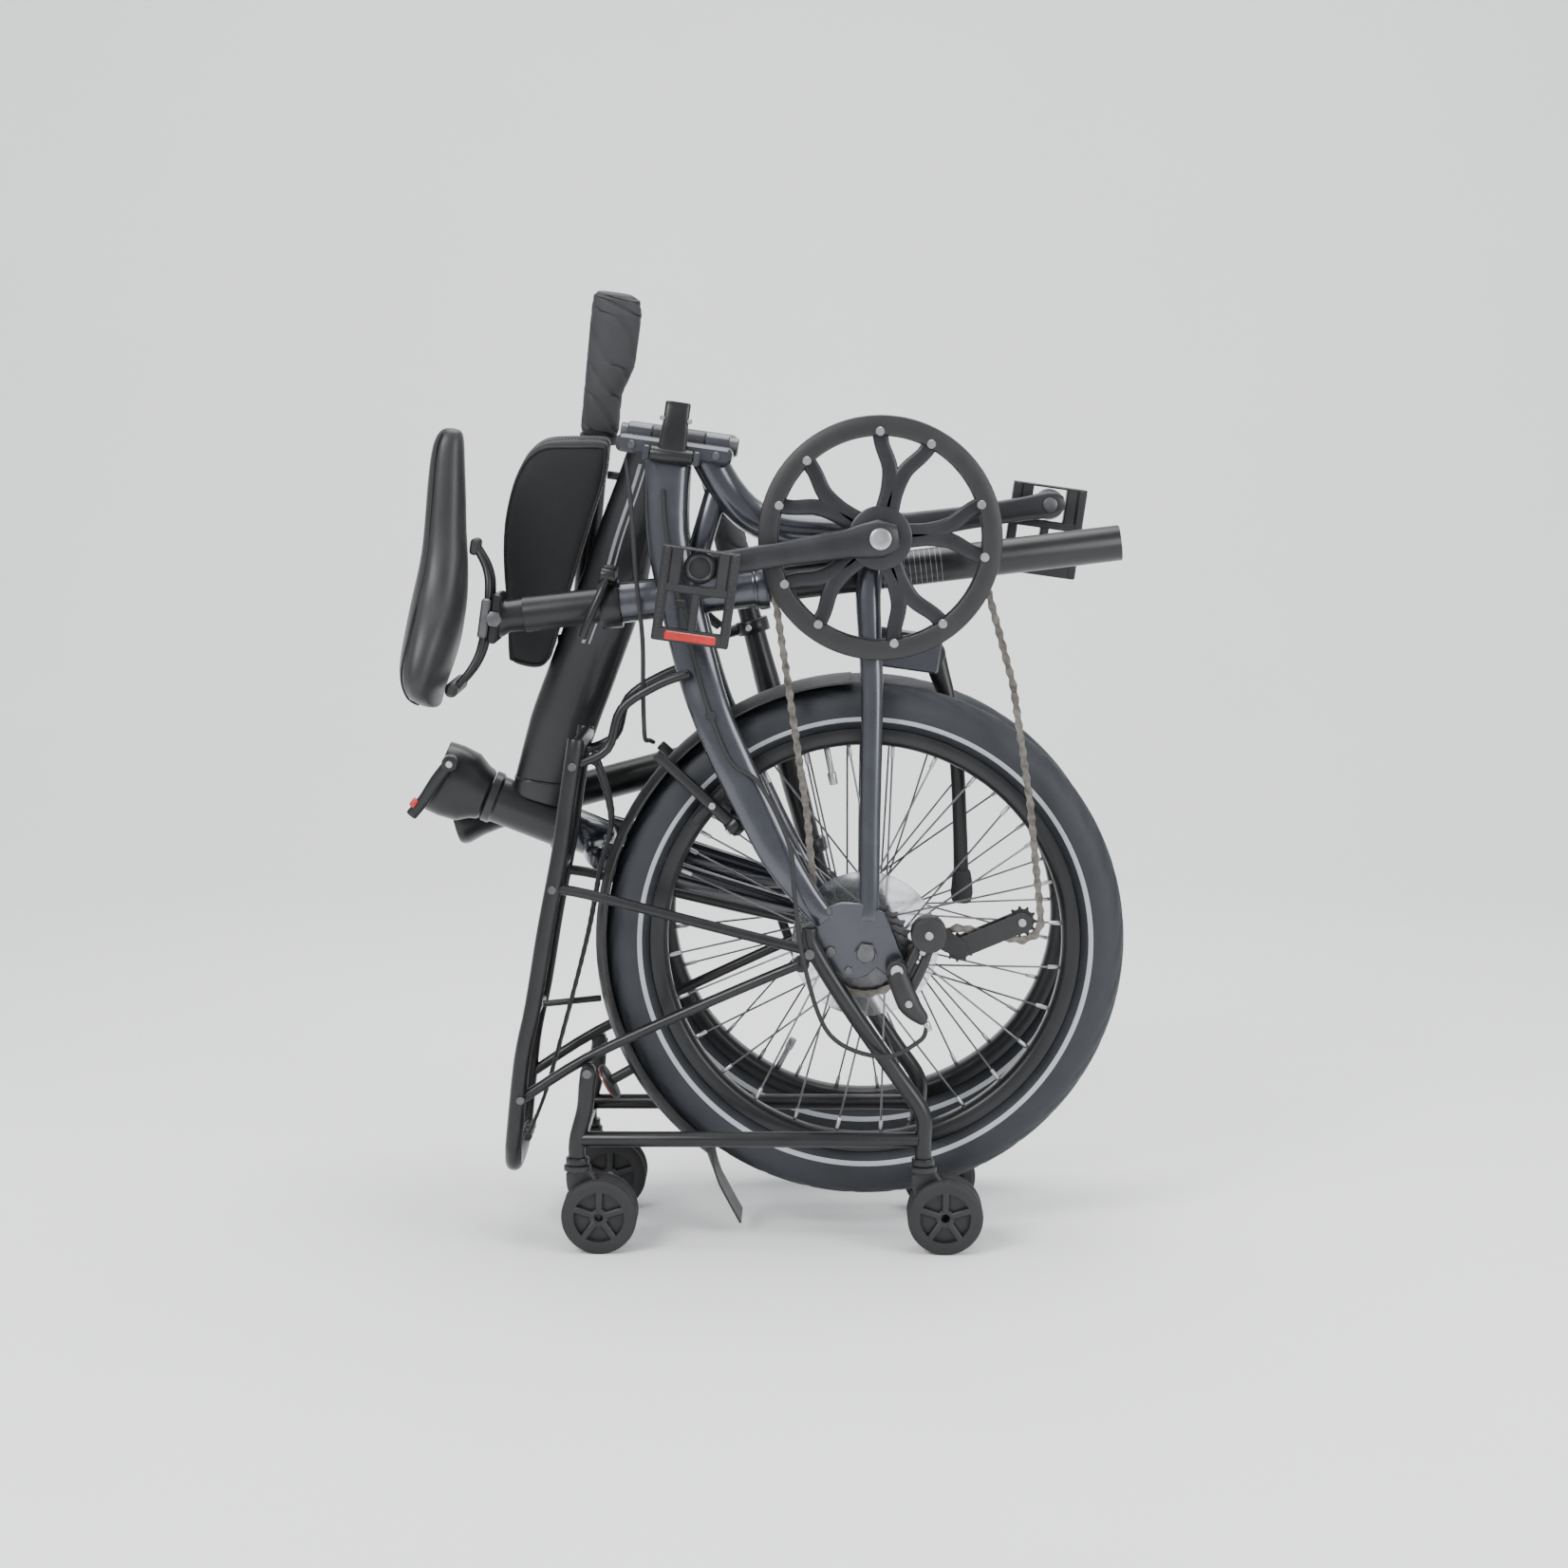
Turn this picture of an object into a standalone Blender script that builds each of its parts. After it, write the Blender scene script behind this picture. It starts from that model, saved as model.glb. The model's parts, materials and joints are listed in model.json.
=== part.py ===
"""Folding bicycle, folded and standing on the castors of its trolley rack.

Every piece is modelled in the riding frame, in millimetres: f forward, y to the
left, h up, with the rear axle at 0, 0, 0. Empties then fold the front half round
the frame hinge, fold the handlepost round its own hinge, and stand the whole bike
on its tail, so each moving piece has its origin on its joint's axis.
"""
import bpy
import bmesh
from math import atan2, cos, pi, radians, sin, tan
from mathutils import Matrix, Vector

MM = 0.001
GAP = 0.3  # clearance between neighbouring pieces

# ---------------------------------------------------------------- driving sizes
TAIL_PITCH = 82.0  # how far the bike is turned up on its tail, degrees
STAND_AT = (104.8, -74.9, 286.7)  # world place of the rear axle, x, y, z
FOLD = 171.6  # main frame fold, degrees
HINGE = (450.0, 44.0)  # frame hinge pin, f and y
HINGE_LOW, HINGE_HIGH = 190.0, 300.0
WHEEL_RADIUS = 250.0
TYRE_HALF_WIDTH = 24.0
RIM_OUTER, RIM_INNER = 206.0, 190.0
RIM_HALF_WIDTH = 12.5
REAR_SPACING = 64.5  # inner face of the rear dropouts, from the centre plane
BB = (388.0, 42.0)  # bottom bracket, f and h
CRANK_LENGTH = 169.0
REST_CRANK = 106.9  # the right crank's angle at rest, degrees from forward
PEDAL_HALF = 36.0
CHAINRING_PLANE = -50.0
SEAT_FOOT = (352.3, 42.4)  # a point of the seat tube's axis, f and h
SEAT_LEAN = 14.9  # seat tube's lean from upright, degrees
SEATPOST_RADIUS = 17.0
HEAD_POINT = (843.4, 391.5)  # a point of the steering axis, f and h
HEAD_LEAN = 14.0
FRONT_AXLE = 911.4  # f of the front axle with the fork turned back
POST_FOLD = 156.0
POST_HINGE_AXIS = Vector((-0.668, -0.740, 0.081)).normalized()
POST_HINGE_OFFSET = (34.8, -31.3)  # hinge pivot from the steering axis, f and y
POST_LENGTH = 348.0
BAR_HALF = 290.0
STAND_HALF = 78.0  # castor stems, from the centre plane
CASTOR_RADIUS = 36.0
CASTOR_TRAIL = 21.0
CASTOR_LEFT, CASTOR_RIGHT = -273.4, 55.0  # castor stems ahead of the axle when stood up
CASTOR_TOP, CASTOR_AXLE = -203.4, -250.7  # their tops and axles when stood up
GUIDE_PULLEY, TENSION_PULLEY = (14.4, -87.9), (47.3, -142.8)
REAR_KNUCKLES = ((196.0, 219.0), (271.0, 294.0))  # frame hinge knuckles, low and high along h
FRONT_KNUCKLE = (219.5, 270.5)
BRAKE_PIVOT = (98.0, 140.0)  # f and h
FENDER_RADIUS = 257.0

FINISHES = {
    "gunmetal": ((0.12, 0.13, 0.16), 0.35, 0.7),
    "charcoal": ((0.06, 0.06, 0.07), 0.5, 0.4),
    "navy": ((0.02, 0.03, 0.05), 0.2, 0.3),
    "black_satin": ((0.02, 0.02, 0.022), 0.4, 0.3),
    "steel": ((0.45, 0.45, 0.45), 0.3, 1.0),
    "rubber": ((0.04, 0.04, 0.045), 0.8, 0.0),
    "grip": ((0.09, 0.09, 0.10), 0.75, 0.0),
    "tyre": ((0.03, 0.035, 0.045), 0.85, 0.0),
    "leather": ((0.03, 0.03, 0.035), 0.5, 0.0),
    "fabric": ((0.03, 0.03, 0.035), 0.9, 0.0),
    "plastic": ((0.02, 0.02, 0.02), 0.45, 0.0),
    "chain": ((0.28, 0.24, 0.20), 0.4, 0.9),
}

Y = Vector((0, 1, 0))


def clear_scene():
    for old in list(bpy.data.objects):
        bpy.data.objects.remove(old, do_unlink=True)


def finish(name):
    """The Principled material of one finish, made once."""
    made = bpy.data.materials.get(name)
    if made:
        return made
    made = bpy.data.materials.new(name)
    made.use_nodes = True
    colour, roughness, metallic = FINISHES[name]
    shader = made.node_tree.nodes["Principled BSDF"]
    shader.inputs["Base Color"].default_value = (*colour, 1)
    shader.inputs["Roughness"].default_value = roughness
    shader.inputs["Metallic"].default_value = metallic
    return made


# ---------------------------------------------------------------- shape tools
def solid(bm):
    """An unnamed object holding the mesh, its faces pointing out."""
    bmesh.ops.recalc_face_normals(bm, faces=bm.faces)
    mesh = bpy.data.meshes.new("shape")
    bm.to_mesh(mesh)
    bm.free()
    made = bpy.data.objects.new("shape", mesh)
    bpy.context.scene.collection.objects.link(made)
    return made


def skin(rings, closed=False):
    """A solid through rings of points, capped at its ends or closed on itself."""
    bm = bmesh.new()
    rows = [[bm.verts.new(p) for p in ring] for ring in rings]
    count = len(rows[0])
    pairs = list(zip(rows, rows[1:]))
    if closed:
        pairs.append((rows[-1], rows[0]))
    for low, high in pairs:
        for i in range(count):
            j = (i + 1) % count
            bm.faces.new((low[i], low[j], high[j], high[i]))
    if not closed:
        bm.faces.new(rows[0])
        bm.faces.new(rows[-1])
    return solid(bm)


def section(half_a, half_b, sides, power=1.0):
    """Points of an oval, squarer as power falls below 1."""
    points = []
    for i in range(sides):
        angle = 2 * pi * (i + 0.5) / sides
        a, b = cos(angle), sin(angle)
        points.append((half_a * abs(a) ** power * (1 if a > 0 else -1),
                       half_b * abs(b) ** power * (1 if b > 0 else -1)))
    return points


def smooth_path(points, steps):
    """Points of a smooth curve through the given points, steps to each span."""
    given = [Vector(p) for p in points]
    path = []
    for i in range(len(given) - 1):
        before, here = given[max(i - 1, 0)], given[i]
        after, beyond = given[i + 1], given[min(i + 2, len(given) - 1)]
        for k in range(steps):
            t = k / steps
            path.append(0.5 * (2 * here + (after - before) * t
                               + (2 * before - 5 * here + 4 * after - beyond) * t * t
                               + (3 * here - before - 3 * after + beyond) * t ** 3))
    path.append(given[-1])
    return path


def sweep(points, radii, sides=10, across=Y, power=1.0):
    """A tube along points; a radius is a number, or a pair in and out of the plane."""
    path = [Vector(p) for p in points]
    if not isinstance(radii, list):
        radii = [radii] * len(path)
    rings = []
    for i, p in enumerate(path):
        along = (path[min(i + 1, len(path) - 1)] - path[max(i - 1, 0)]).normalized()
        out = (across - along * across.dot(along)).normalized()
        inside = out.cross(along)
        half = radii[i] if isinstance(radii[i], tuple) else (radii[i], radii[i])
        rings.append([p + inside * a + out * b for a, b in section(*half, sides, power)])
    return skin(rings)


def spread(values, count):
    """Values, numbers or pairs, spread evenly over count places."""
    result = []
    for k in range(count):
        place = k * (len(values) - 1) / (count - 1)
        i = min(int(place), len(values) - 2)
        t = place - i
        low, high = values[i], values[i + 1]
        if isinstance(low, tuple):
            result.append(tuple(a + (b - a) * t for a, b in zip(low, high)))
        else:
            result.append(low + (high - low) * t)
    return result


def frame_on(axis):
    """Two directions square to an axis."""
    axis = Vector(axis).normalized()
    side = axis.cross(Vector((1, 0, 0)) if abs(axis.x) < 0.9 else Vector((0, 0, 1))).normalized()
    return axis, side, axis.cross(side)


def turned(profile, centre, axis=Y, segments=24):
    """A ring turned round an axis from a closed profile of (radius, along) points."""
    axis, side, up = frame_on(axis)
    rings = []
    for i in range(segments):
        angle = 2 * pi * i / segments
        out = side * cos(angle) + up * sin(angle)
        rings.append([Vector(centre) + out * r + axis * a for r, a in profile])
    return skin(rings, closed=True)


def spindle(profile, centre, axis=Y, segments=16):
    """A solid turned from (radius, along) points, with flat ends."""
    axis, side, up = frame_on(axis)
    rings = []
    for r, a in profile:
        rings.append([Vector(centre) + axis * a + side * (r * cos(2 * pi * i / segments))
                      + up * (r * sin(2 * pi * i / segments)) for i in range(segments)])
    return skin(rings)


def rod(start, end, radius, sides=10):
    start, end = Vector(start), Vector(end)
    along = end - start
    return spindle([(radius, 0), (radius, along.length)], start, along, sides)


def block(low, high):
    bm = bmesh.new()
    bmesh.ops.create_cube(bm, size=1.0)
    low, high = Vector(low), Vector(high)
    for vert in bm.verts:
        vert.co = Vector((low[k] + (high[k] - low[k]) * (vert.co[k] + 0.5) for k in range(3)))
    return solid(bm)


def plate(outline, y_low, y_high):
    """A flat plate in the f, h plane, from one y to another."""
    return skin([[Vector((f, y, h)) for f, h in outline] for y in (y_low, y_high)])


def rounded_plate(centres, radius, y_low, y_high, steps=5):
    """A plate with round ends on the line between two centres in the f, h plane."""
    (f0, h0), (f1, h1) = centres
    heading = atan2(h1 - h0, f1 - f0)
    outline = []
    for (f, h), turn in (((f1, h1), -pi / 2), ((f0, h0), pi / 2)):
        for k in range(steps + 1):
            angle = heading + turn + pi * k / steps
            outline.append((f + radius * cos(angle), h + radius * sin(angle)))
    return plate(outline, y_low, y_high)


def boolean(target, other, operation):
    change = target.modifiers.new("cut", "BOOLEAN")
    change.operation = operation
    change.solver = "EXACT"
    change.object = other
    depsgraph = bpy.context.evaluated_depsgraph_get()
    result = bpy.data.meshes.new_from_object(target.evaluated_get(depsgraph))
    target.modifiers.clear()
    target.data = result
    bpy.data.objects.remove(other, do_unlink=True)
    return target


def union(*pieces):
    whole = pieces[0]
    for piece in pieces[1:]:
        boolean(whole, piece, "UNION")
    return whole


def cut(target, *tools):
    for tool in tools:
        boolean(target, tool, "DIFFERENCE")
    return target


def mirrored(make):
    """The piece that make(side) gives on the right, -1, and on the left, 1."""
    return [make(side) for side in (-1, 1)]


def empty(name, parent, place=(0, 0, 0), rotation=None):
    made = bpy.data.objects.new(name, None)
    bpy.context.scene.collection.objects.link(made)
    made.parent = parent
    made.location = Vector(place) * MM
    if rotation is not None:
        made.rotation_mode = "QUATERNION"
        made.rotation_quaternion = rotation.to_quaternion()
    return made


def part(name, shape, look, parent, origin=(0, 0, 0), smooth=35):
    """Names a shape, puts its origin at a point and hangs it on its parent."""
    shape.name = name
    shape.data.name = name
    shape.data.transform(Matrix.Translation(-Vector(origin)))
    shape.data.transform(Matrix.Scale(MM, 4))
    shape.data.materials.clear()
    shape.data.materials.append(finish(look))
    shape.data.shade_smooth()
    shape.data.set_sharp_from_angle(angle=radians(smooth))
    shape.parent = parent
    shape.location = (Vector(origin) - Vector(parent.get("base", (0, 0, 0)))) * MM
    return shape


# ---------------------------------------------------------------- frames
def seat_point(up, y=0.0):
    """A point of the seat tube's axis, a distance up from its foot."""
    lean = radians(SEAT_LEAN)
    return Vector((SEAT_FOOT[0] - up * sin(lean), y, SEAT_FOOT[1] + up * cos(lean)))


def head_point(h, y=0.0):
    """A point of the steering axis at a height."""
    return Vector((HEAD_POINT[0] - (h - HEAD_POINT[1]) * tan(radians(HEAD_LEAN)), y, h))


HEAD_UP = Vector((-sin(radians(HEAD_LEAN)), 0, cos(radians(HEAD_LEAN))))
SEAT_UP = Vector((-sin(radians(SEAT_LEAN)), 0, cos(radians(SEAT_LEAN))))
POST_FOOT = head_point(445.0)
POST_PIVOT = POST_FOOT + Vector((*POST_HINGE_OFFSET, 0.4))


def make_frames():
    """The empties: the bike on its tail, its folded front half and its folded post."""
    bike = empty("bike", None, STAND_AT, Matrix.Rotation(-radians(TAIL_PITCH), 3, "Y"))
    front = empty("front_half", bike, (*HINGE, 0), Matrix.Rotation(radians(FOLD), 3, "Z"))
    front["base"] = (*HINGE, 0.0)
    post = empty("folded_post", front, POST_PIVOT - Vector((*HINGE, 0)),
                 Matrix.Rotation(radians(POST_FOLD), 3, POST_HINGE_AXIS))
    post["base"] = tuple(POST_PIVOT)
    return bike, front, post


# ---------------------------------------------------------------- rear frame
def stay(side):
    """One of the two big stays from the hinge past the seat tube to the dropout."""
    points = [(434, 15, 250), (363, 19, 241), (300, 25, 219), (243, 33, 196), (201, 44, 175.5),
              (161, 50, 151), (121, 55, 124), (80, 60, 95.5), (45, 64, 64), (24, 67, 42)]
    sizes = [(22, 13), (20, 12), (20, 11), (20, 10), (19, 9.5), (19, 9.5), (18, 9), (17, 8.5), (13, 7),
             (10, 4)]
    return sweep([(f, side * y, h) for f, y, h in points], sizes, 8)


def chainstay(side):
    points = [(388, 22, 42), (345, 31, 46), (290, 37, 37), (240, 42, 28), (120, 55, 13), (60, 63, 5),
              (30, 67, 2)]
    sizes = [(13, 8), (12, 8), (11, 8), (10.5, 7.5), (10, 7), (9.5, 6), (9, 4)]
    return sweep([(f, side * y, h) for f, y, h in points], sizes, 8)


def dropout(side):
    outline = [(34, 50), (46, 12), (40, -12), (-2, -36), (-20, -32), (-13, -12), (-26, 4), (-26, 18),
               (-12, 40), (6, 50)]
    low, high = sorted((side * REAR_SPACING, side * (REAR_SPACING + 5)))
    return plate(outline, low, high)


def hinge_lug(direction):
    """The cast end of one frame half: direction is -1 behind the joint, 1 ahead of it."""
    face = HINGE[0] + direction * GAP / 2
    back = face + direction * 17
    low, high = sorted((face, back))
    body = block((low, -30, HINGE_LOW), (high, 30, HINGE_HIGH))
    body.modifiers.new("round", "BEVEL").width = 6
    body.modifiers["round"].segments = 1
    rounded = bpy.data.meshes.new_from_object(
        body.evaluated_get(bpy.context.evaluated_depsgraph_get()))
    body.modifiers.clear()
    body.data = rounded
    return body


def knuckles(spans):
    return [spindle([(11, low), (11, high)], (*HINGE, 0), (0, 0, 1), 14) for low, high in spans]


def brake_post(side):
    """The post a brake arm turns on, standing off the stay."""
    pivot = Vector((BRAKE_PIVOT[0], side * 38, BRAKE_PIVOT[1]))
    return sweep([pivot - BRAKE_AXIS * 6.6, pivot - BRAKE_AXIS * 20, (118, side * 51, 122)], 6, 8)


def rear_frame(bike):
    lug = hinge_lug(-1)
    arms = [block((433.5, 20, low), (443, HINGE[1], high)) for low, high in REAR_KNUCKLES]
    stays = mirrored(stay)
    chainstays = mirrored(chainstay)
    drops = mirrored(dropout)
    down = smooth_path([(438, 0, 213), (411, 0, 192), (391, 0, 168), (382, 0, 140), (382, 0, 105),
                        (388, 0, 45)], 2)
    tube = sweep(down, 16.5, 10)
    shell = rod((BB[0], -34, BB[1]), (BB[0], 34, BB[1]), 20.5, 18)
    seat = sweep([seat_point(105), seat_point(242)], 19.5, 16)
    collar = sweep([seat_point(100), seat_point(112)], 22.5, 16)
    seat_web = sweep([seat_point(180), (411, 0, 200)], (11, 8), 8)
    bridge = rod((272, -38, 35), (272, 38, 35), 7, 8)
    posts = mirrored(brake_post)
    latch_seat = [block((429, -46, 219), (443, -26, 225.6)), block((429, -46, 266.4), (443, -26, 273))]
    stand_plate = plate([(300, 40), (262, 36), (262, -34), (296, -34)], 26, 34)
    whole = union(lug, *arms, *knuckles(REAR_KNUCKLES), *stays, tube, shell, seat, collar, seat_web,
                  *chainstays, *drops, bridge, stand_plate, *posts, *latch_seat)
    cut(whole, sweep([seat_point(-250), seat_point(260)], SEATPOST_RADIUS + GAP, 20),
        rod((BB[0], -40, BB[1]), (BB[0], 40, BB[1]), 12.7, 14),
        spindle([(6.3, 190), (6.3, 300)], (*HINGE, 0), (0, 0, 1), 12),
        rod((0, -80, 0), (0, 80, 0), 5.3, 12))
    part("rear_frame", whole, "gunmetal", bike)


def hinge_hardware(bike):
    pin = spindle([(9, 187), (9, 195.7), (6, 195.7), (6, 294.3), (9, 294.3), (9, 301)], (*HINGE, 0),
                  (0, 0, 1), 12)
    part("frame_hinge_pin", pin, "steel", bike, (*HINGE, 245))
    path = smooth_path([(436, -39, 246), (452, -40, 246), (468, -40, 246), (486, -37, 246)], 2)
    lever = sweep(path, spread([(5, 14), (4, 13), (4, 12), (5, 12)], len(path)), 8, (Vector((0, 0, 1))),
                  0.6)
    boss = rod((436, -39, 226), (436, -39, 266), 7, 12)
    part("frame_latch", union(boss, lever), "black_satin", bike, (436, -39, 246))


def seat_clamp(bike):
    """The quick-release collar on the seat tube's top, and its lever."""
    body = sweep([seat_point(242.4), seat_point(262)], 23.5, 18)
    tail = seat_point(252)
    ears = block((tail.x + 12, -11, tail.z - 2), (tail.x + 36, 11, tail.z + 12))
    union(body, ears)
    cut(body, sweep([seat_point(230), seat_point(275)], SEATPOST_RADIUS + GAP, 18))
    part("seat_clamp", body, "black_satin", bike, seat_point(252))
    pivot = Vector((tail.x + 28, -19, tail.z + 5))
    lever = sweep(smooth_path([pivot, pivot + Vector((-16, -10, 4)), pivot + Vector((-44, -13, 12)),
                               pivot + Vector((-62, -10, 16))], 2),
                  (4, 3.5), 8)
    boss = rod(pivot + Vector((0, 0, -7)), pivot + Vector((0, 0, 7)), 6.5, 12)
    part("seat_clamp_lever", union(boss, lever), "black_satin", bike, pivot)


# ---------------------------------------------------------------- seat
def seat_group(bike):
    low, high = seat_point(-236), seat_point(336)
    post = sweep([low, high], SEATPOST_RADIUS, 18)
    cut(post, sweep([low - SEAT_UP, low + SEAT_UP * 500], SEATPOST_RADIUS - 2.2, 14))
    top = seat_point(336)
    head = sweep([top - SEAT_UP * 5, top + SEAT_UP * 14, top + SEAT_UP * 22, top + SEAT_UP * 30],
                 [(16, 16), (15, 16), (19, 18), (17, 18)], 12)
    clamp = block((top.x - 30, -26, top.z + 20), (top.x + 18, 26, top.z + 30))
    part("seatpost", union(post, head, clamp), "black_satin", bike, seat_point(200))
    base = top.z + 34

    def rail(side):
        return sweep(smooth_path([(top.x + 62, side * 7, base + 22), (top.x + 40, side * 14, base + 6),
                                  (top.x + 15, side * 20, base), (top.x - 30, side * 22, base),
                                  (top.x - 55, side * 26, base + 6), (top.x - 78, side * 34, base + 20)],
                                 2),
                     3.5, 8)
    rails = union(rail(-1), rail(1),
                  block((top.x + 50, -14, base + 15), (top.x + 66, 14, base + 24)),
                  block((top.x - 84, -46, base + 15), (top.x - 70, 46, base + 27)))
    part("saddle_rails", rails, "steel", bike, top)
    rings = []
    stations = ((-98, 30, 6, 16), (-92, 62, 14, 25), (-70, 76, 24, 30), (-35, 70, 26, 26),
                (5, 44, 26, 24),
                (50, 28, 22, 25), (100, 23, 19, 30), (150, 18, 16, 34), (166, 11, 8, 32))
    for along, half, thick, middle in stations:
        rings.append([Vector((top.x + along, a, base + 23 + middle + b))
                      for a, b in section(half, thick, 12, 0.85)])
    part("saddle", skin(rings), "leather", bike, top)


# ---------------------------------------------------------------- wheels
def tyre_shape():
    """A tyre open on its inner side, as an open ring of rubber."""
    outer = []
    for k in range(6):
        angle = radians(-125 + 250 * k / 5)
        outer.append((227 + (WHEEL_RADIUS - 227) * cos(angle), TYRE_HALF_WIDTH * sin(angle)))
    outer[0], outer[-1] = (207.5, -13.2), (207.5, 13.2)
    inner = [(207.5, 9), (240, 9), (240, -9), (207.5, -9)]
    return turned(outer + inner, (0, 0, 0), Y, 36)


def rim_shape():
    profile = [(RIM_OUTER + 1, -RIM_HALF_WIDTH), (RIM_INNER + 4, -RIM_HALF_WIDTH), (RIM_INNER, -6),
               (RIM_INNER, 6), (RIM_INNER + 4, RIM_HALF_WIDTH), (RIM_OUTER + 1, RIM_HALF_WIDTH)]
    return turned(profile, (0, 0, 0), Y, 36)


def hub_shape(bore, flange_at, flange, barrel, spokes=6):
    """A spoked hub: each flange's spokes run out to just short of the rim."""
    left, right = flange_at
    profile = [(bore, left - 6), (barrel - 2, left - 6), (barrel, left), (flange, left),
               (flange, left + 3),
               (barrel, left + 6), (barrel, right - 6), (flange, right - 3), (flange, right),
               (barrel, right),
               (barrel - 2, right + 6), (bore, right + 6)]
    hub = turned(profile, (0, 0, 0), Y, 16)
    for k in range(spokes):
        for y, shift, lean in ((left + 1.5, 0.0, 0.6), (right - 1.5, 0.5, -0.6)):
            angle = 2 * pi * (k + shift) / spokes
            start = angle + lean
            inner = Vector(((flange - 3) * cos(start), y, (flange - 3) * sin(start)))
            outer = Vector(((RIM_INNER - 1.6) * cos(angle), y * 0.08, (RIM_INNER - 1.6) * sin(angle)))
            union(hub, rod(inner, outer, 1.4, 4))
    return hub


def wheels(bike, front):
    rear_nodes = (("rear_tyre", tyre_shape(), "tyre"), ("rear_rim", rim_shape(), "plastic"),
                  ("rear_hub", hub_shape(7.3, (-20, 42), 24, 17), "steel"))
    for name, shape, look in rear_nodes:
        part(name, shape, look, bike)
    sprockets = [(7.3, -61)]
    for radius, start in ((28, -61), (39, -53), (54, -40)):
        sprockets += [(22, start), (radius, start), (radius, start + 4), (22, start + 4)]
    sprockets += [(22, -28), (7.3, -28)]
    part("cassette", turned(sprockets, (0, 0, 0), Y, 20), "steel", bike)
    axle = spindle([(9, -77), (9, -70), (5, -70), (5, -64.2), (7, -64.2), (7, 64.2), (5, 64.2), (5, 70),
                    (9, 70), (9, 77)], (0, 0, 0), Y, 12)
    part("rear_axle", axle, "steel", bike)
    centre = Vector((FRONT_AXLE, 0, 0))
    for name, shape, look in (("front_tyre", tyre_shape(), "tyre"), ("front_rim", rim_shape(), "plastic"),
                              ("front_hub", hub_shape(7.3, (-29, 29), 20, 14), "steel")):
        shape.data.transform(Matrix.Translation(centre))
        part(name, shape, look, front, centre)


# ---------------------------------------------------------------- drivetrain
def crank(side):
    """A crank arm from the spindle out to the pedal, at its rest angle."""
    angle = radians(REST_CRANK + (180 if side > 0 else 0))
    end = Vector((BB[0] + CRANK_LENGTH * cos(angle), 0, BB[1] + CRANK_LENGTH * sin(angle)))
    centre = Vector((BB[0], 0, BB[1]))
    y_in, y_out = side * 66, side * 73
    path = [centre.lerp(end, t) + Y * (y_in + (y_out - y_in) * t) for t in (-0.1, 0.0, 0.18, 0.5, 0.85,
                                                                            1.0, 1.085)]
    sizes = [(13, 7), (18, 8.5), (14, 7.5), (11.5, 6.5), (11.5, 6), (13, 6), (8, 5)]
    arm = sweep(path, sizes, 10, Y, 0.8)
    return arm, end


def crankset(bike):
    """The right crank with its spindle, the left crank, the chainring and its guard."""
    centre = Vector((BB[0], 0, BB[1]))
    plane = CHAINRING_PLANE
    ring = turned([(94, plane - 1.5), (104, plane - 1.5), (104, plane + 1.5), (94, plane + 1.5)], centre,
                  Y, 32)
    hub = rod((BB[0], -57, BB[1]), (BB[0], plane + 3, BB[1]), 30, 20)
    ring = union(hub, ring)
    for k in range(5):
        angle = radians(66 + 72 * k)
        level = Vector((BB[0], plane - 1.2, BB[1]))
        root = level + Vector((cos(angle), 0, sin(angle))) * 24
        split = level + Vector((cos(angle), 0, sin(angle))) * 62
        union(ring, sweep([root, split], [(12, 3), (9, 3)], 6))
        for turn in (-0.24, 0.24):
            tip = level + Vector((cos(angle + turn), 0, sin(angle + turn))) * 98
            union(ring, sweep([split.lerp(root, 0.08), tip], [(7, 2.7), (5, 2.3)], 6))
        bolt = level + Vector((cos(angle + 0.24), 0, sin(angle + 0.24))) * 98
        union(ring, rod(bolt + Y * 1, bolt - Y * 5, 3, 8))
    guard = turned([(96, -61), (114, -58.5), (114, -54), (96, -54)], centre, Y, 32)
    cut(union(ring, guard), rod((BB[0], -60, BB[1]), (BB[0], -40, BB[1]), 12 + GAP, 14))
    part("chainring", ring, "black_satin", bike, centre)
    for side, name in ((-1, "right"), (1, "left")):
        arm, end = crank(side)
        cut(arm, rod((end.x, side * 60, end.z), (end.x, side * 90, end.z), 7.3, 12))
        if side < 0:
            union(arm, rod(centre + Y * -68, centre + Y * 70, 12, 14))
        else:
            cut(arm, rod(centre + Y * 40, centre + Y * 70.3, 12 + GAP, 14))
        part(f"{name}_crank", arm, "gunmetal", bike, centre)
        pedal(bike, side, name, end)


def pedal(bike, side, name, end):
    """A folding pedal: its axle turns on the crank and the cage folds flat on it."""
    axle = rod((end.x, side * 65.5, end.z), (end.x, side * 83, end.z), 7, 12)
    knob = rod((end.x, side * 81, end.z), (end.x, side * 89.5, end.z), 15, 16)
    part(f"{name}_pedal_axle", union(axle, knob), "steel", bike, (end.x, side * 81, end.z))
    low, high = sorted((side * 86, side * 106))
    back, tip = end.x - 70, end.x + 18
    cage = block((back, low, end.z - PEDAL_HALF), (tip, high, end.z + PEDAL_HALF))
    windows = [block((back + 12, low - 5, end.z - PEDAL_HALF + 9), (end.x - 22, high + 5, end.z - 4)),
               block((back + 12, low - 5, end.z + 4), (end.x - 22, high + 5, end.z + PEDAL_HALF - 9))]
    cut(cage, *windows, rod((end.x, low - 5, end.z), (end.x, high + 5, end.z), 15.3, 16))
    part(f"{name}_pedal", cage, "plastic", bike, (tip, side * 86, end.z))


def arc(centre, radius, start, stop, count, y):
    """Points along an arc in the f, h plane, angles in degrees."""
    points = []
    for k in range(count):
        angle = radians(start + (stop - start) * k / (count - 1))
        points.append(Vector((centre[0] + radius * cos(angle), y, centre[1] + radius * sin(angle))))
    return points


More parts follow.
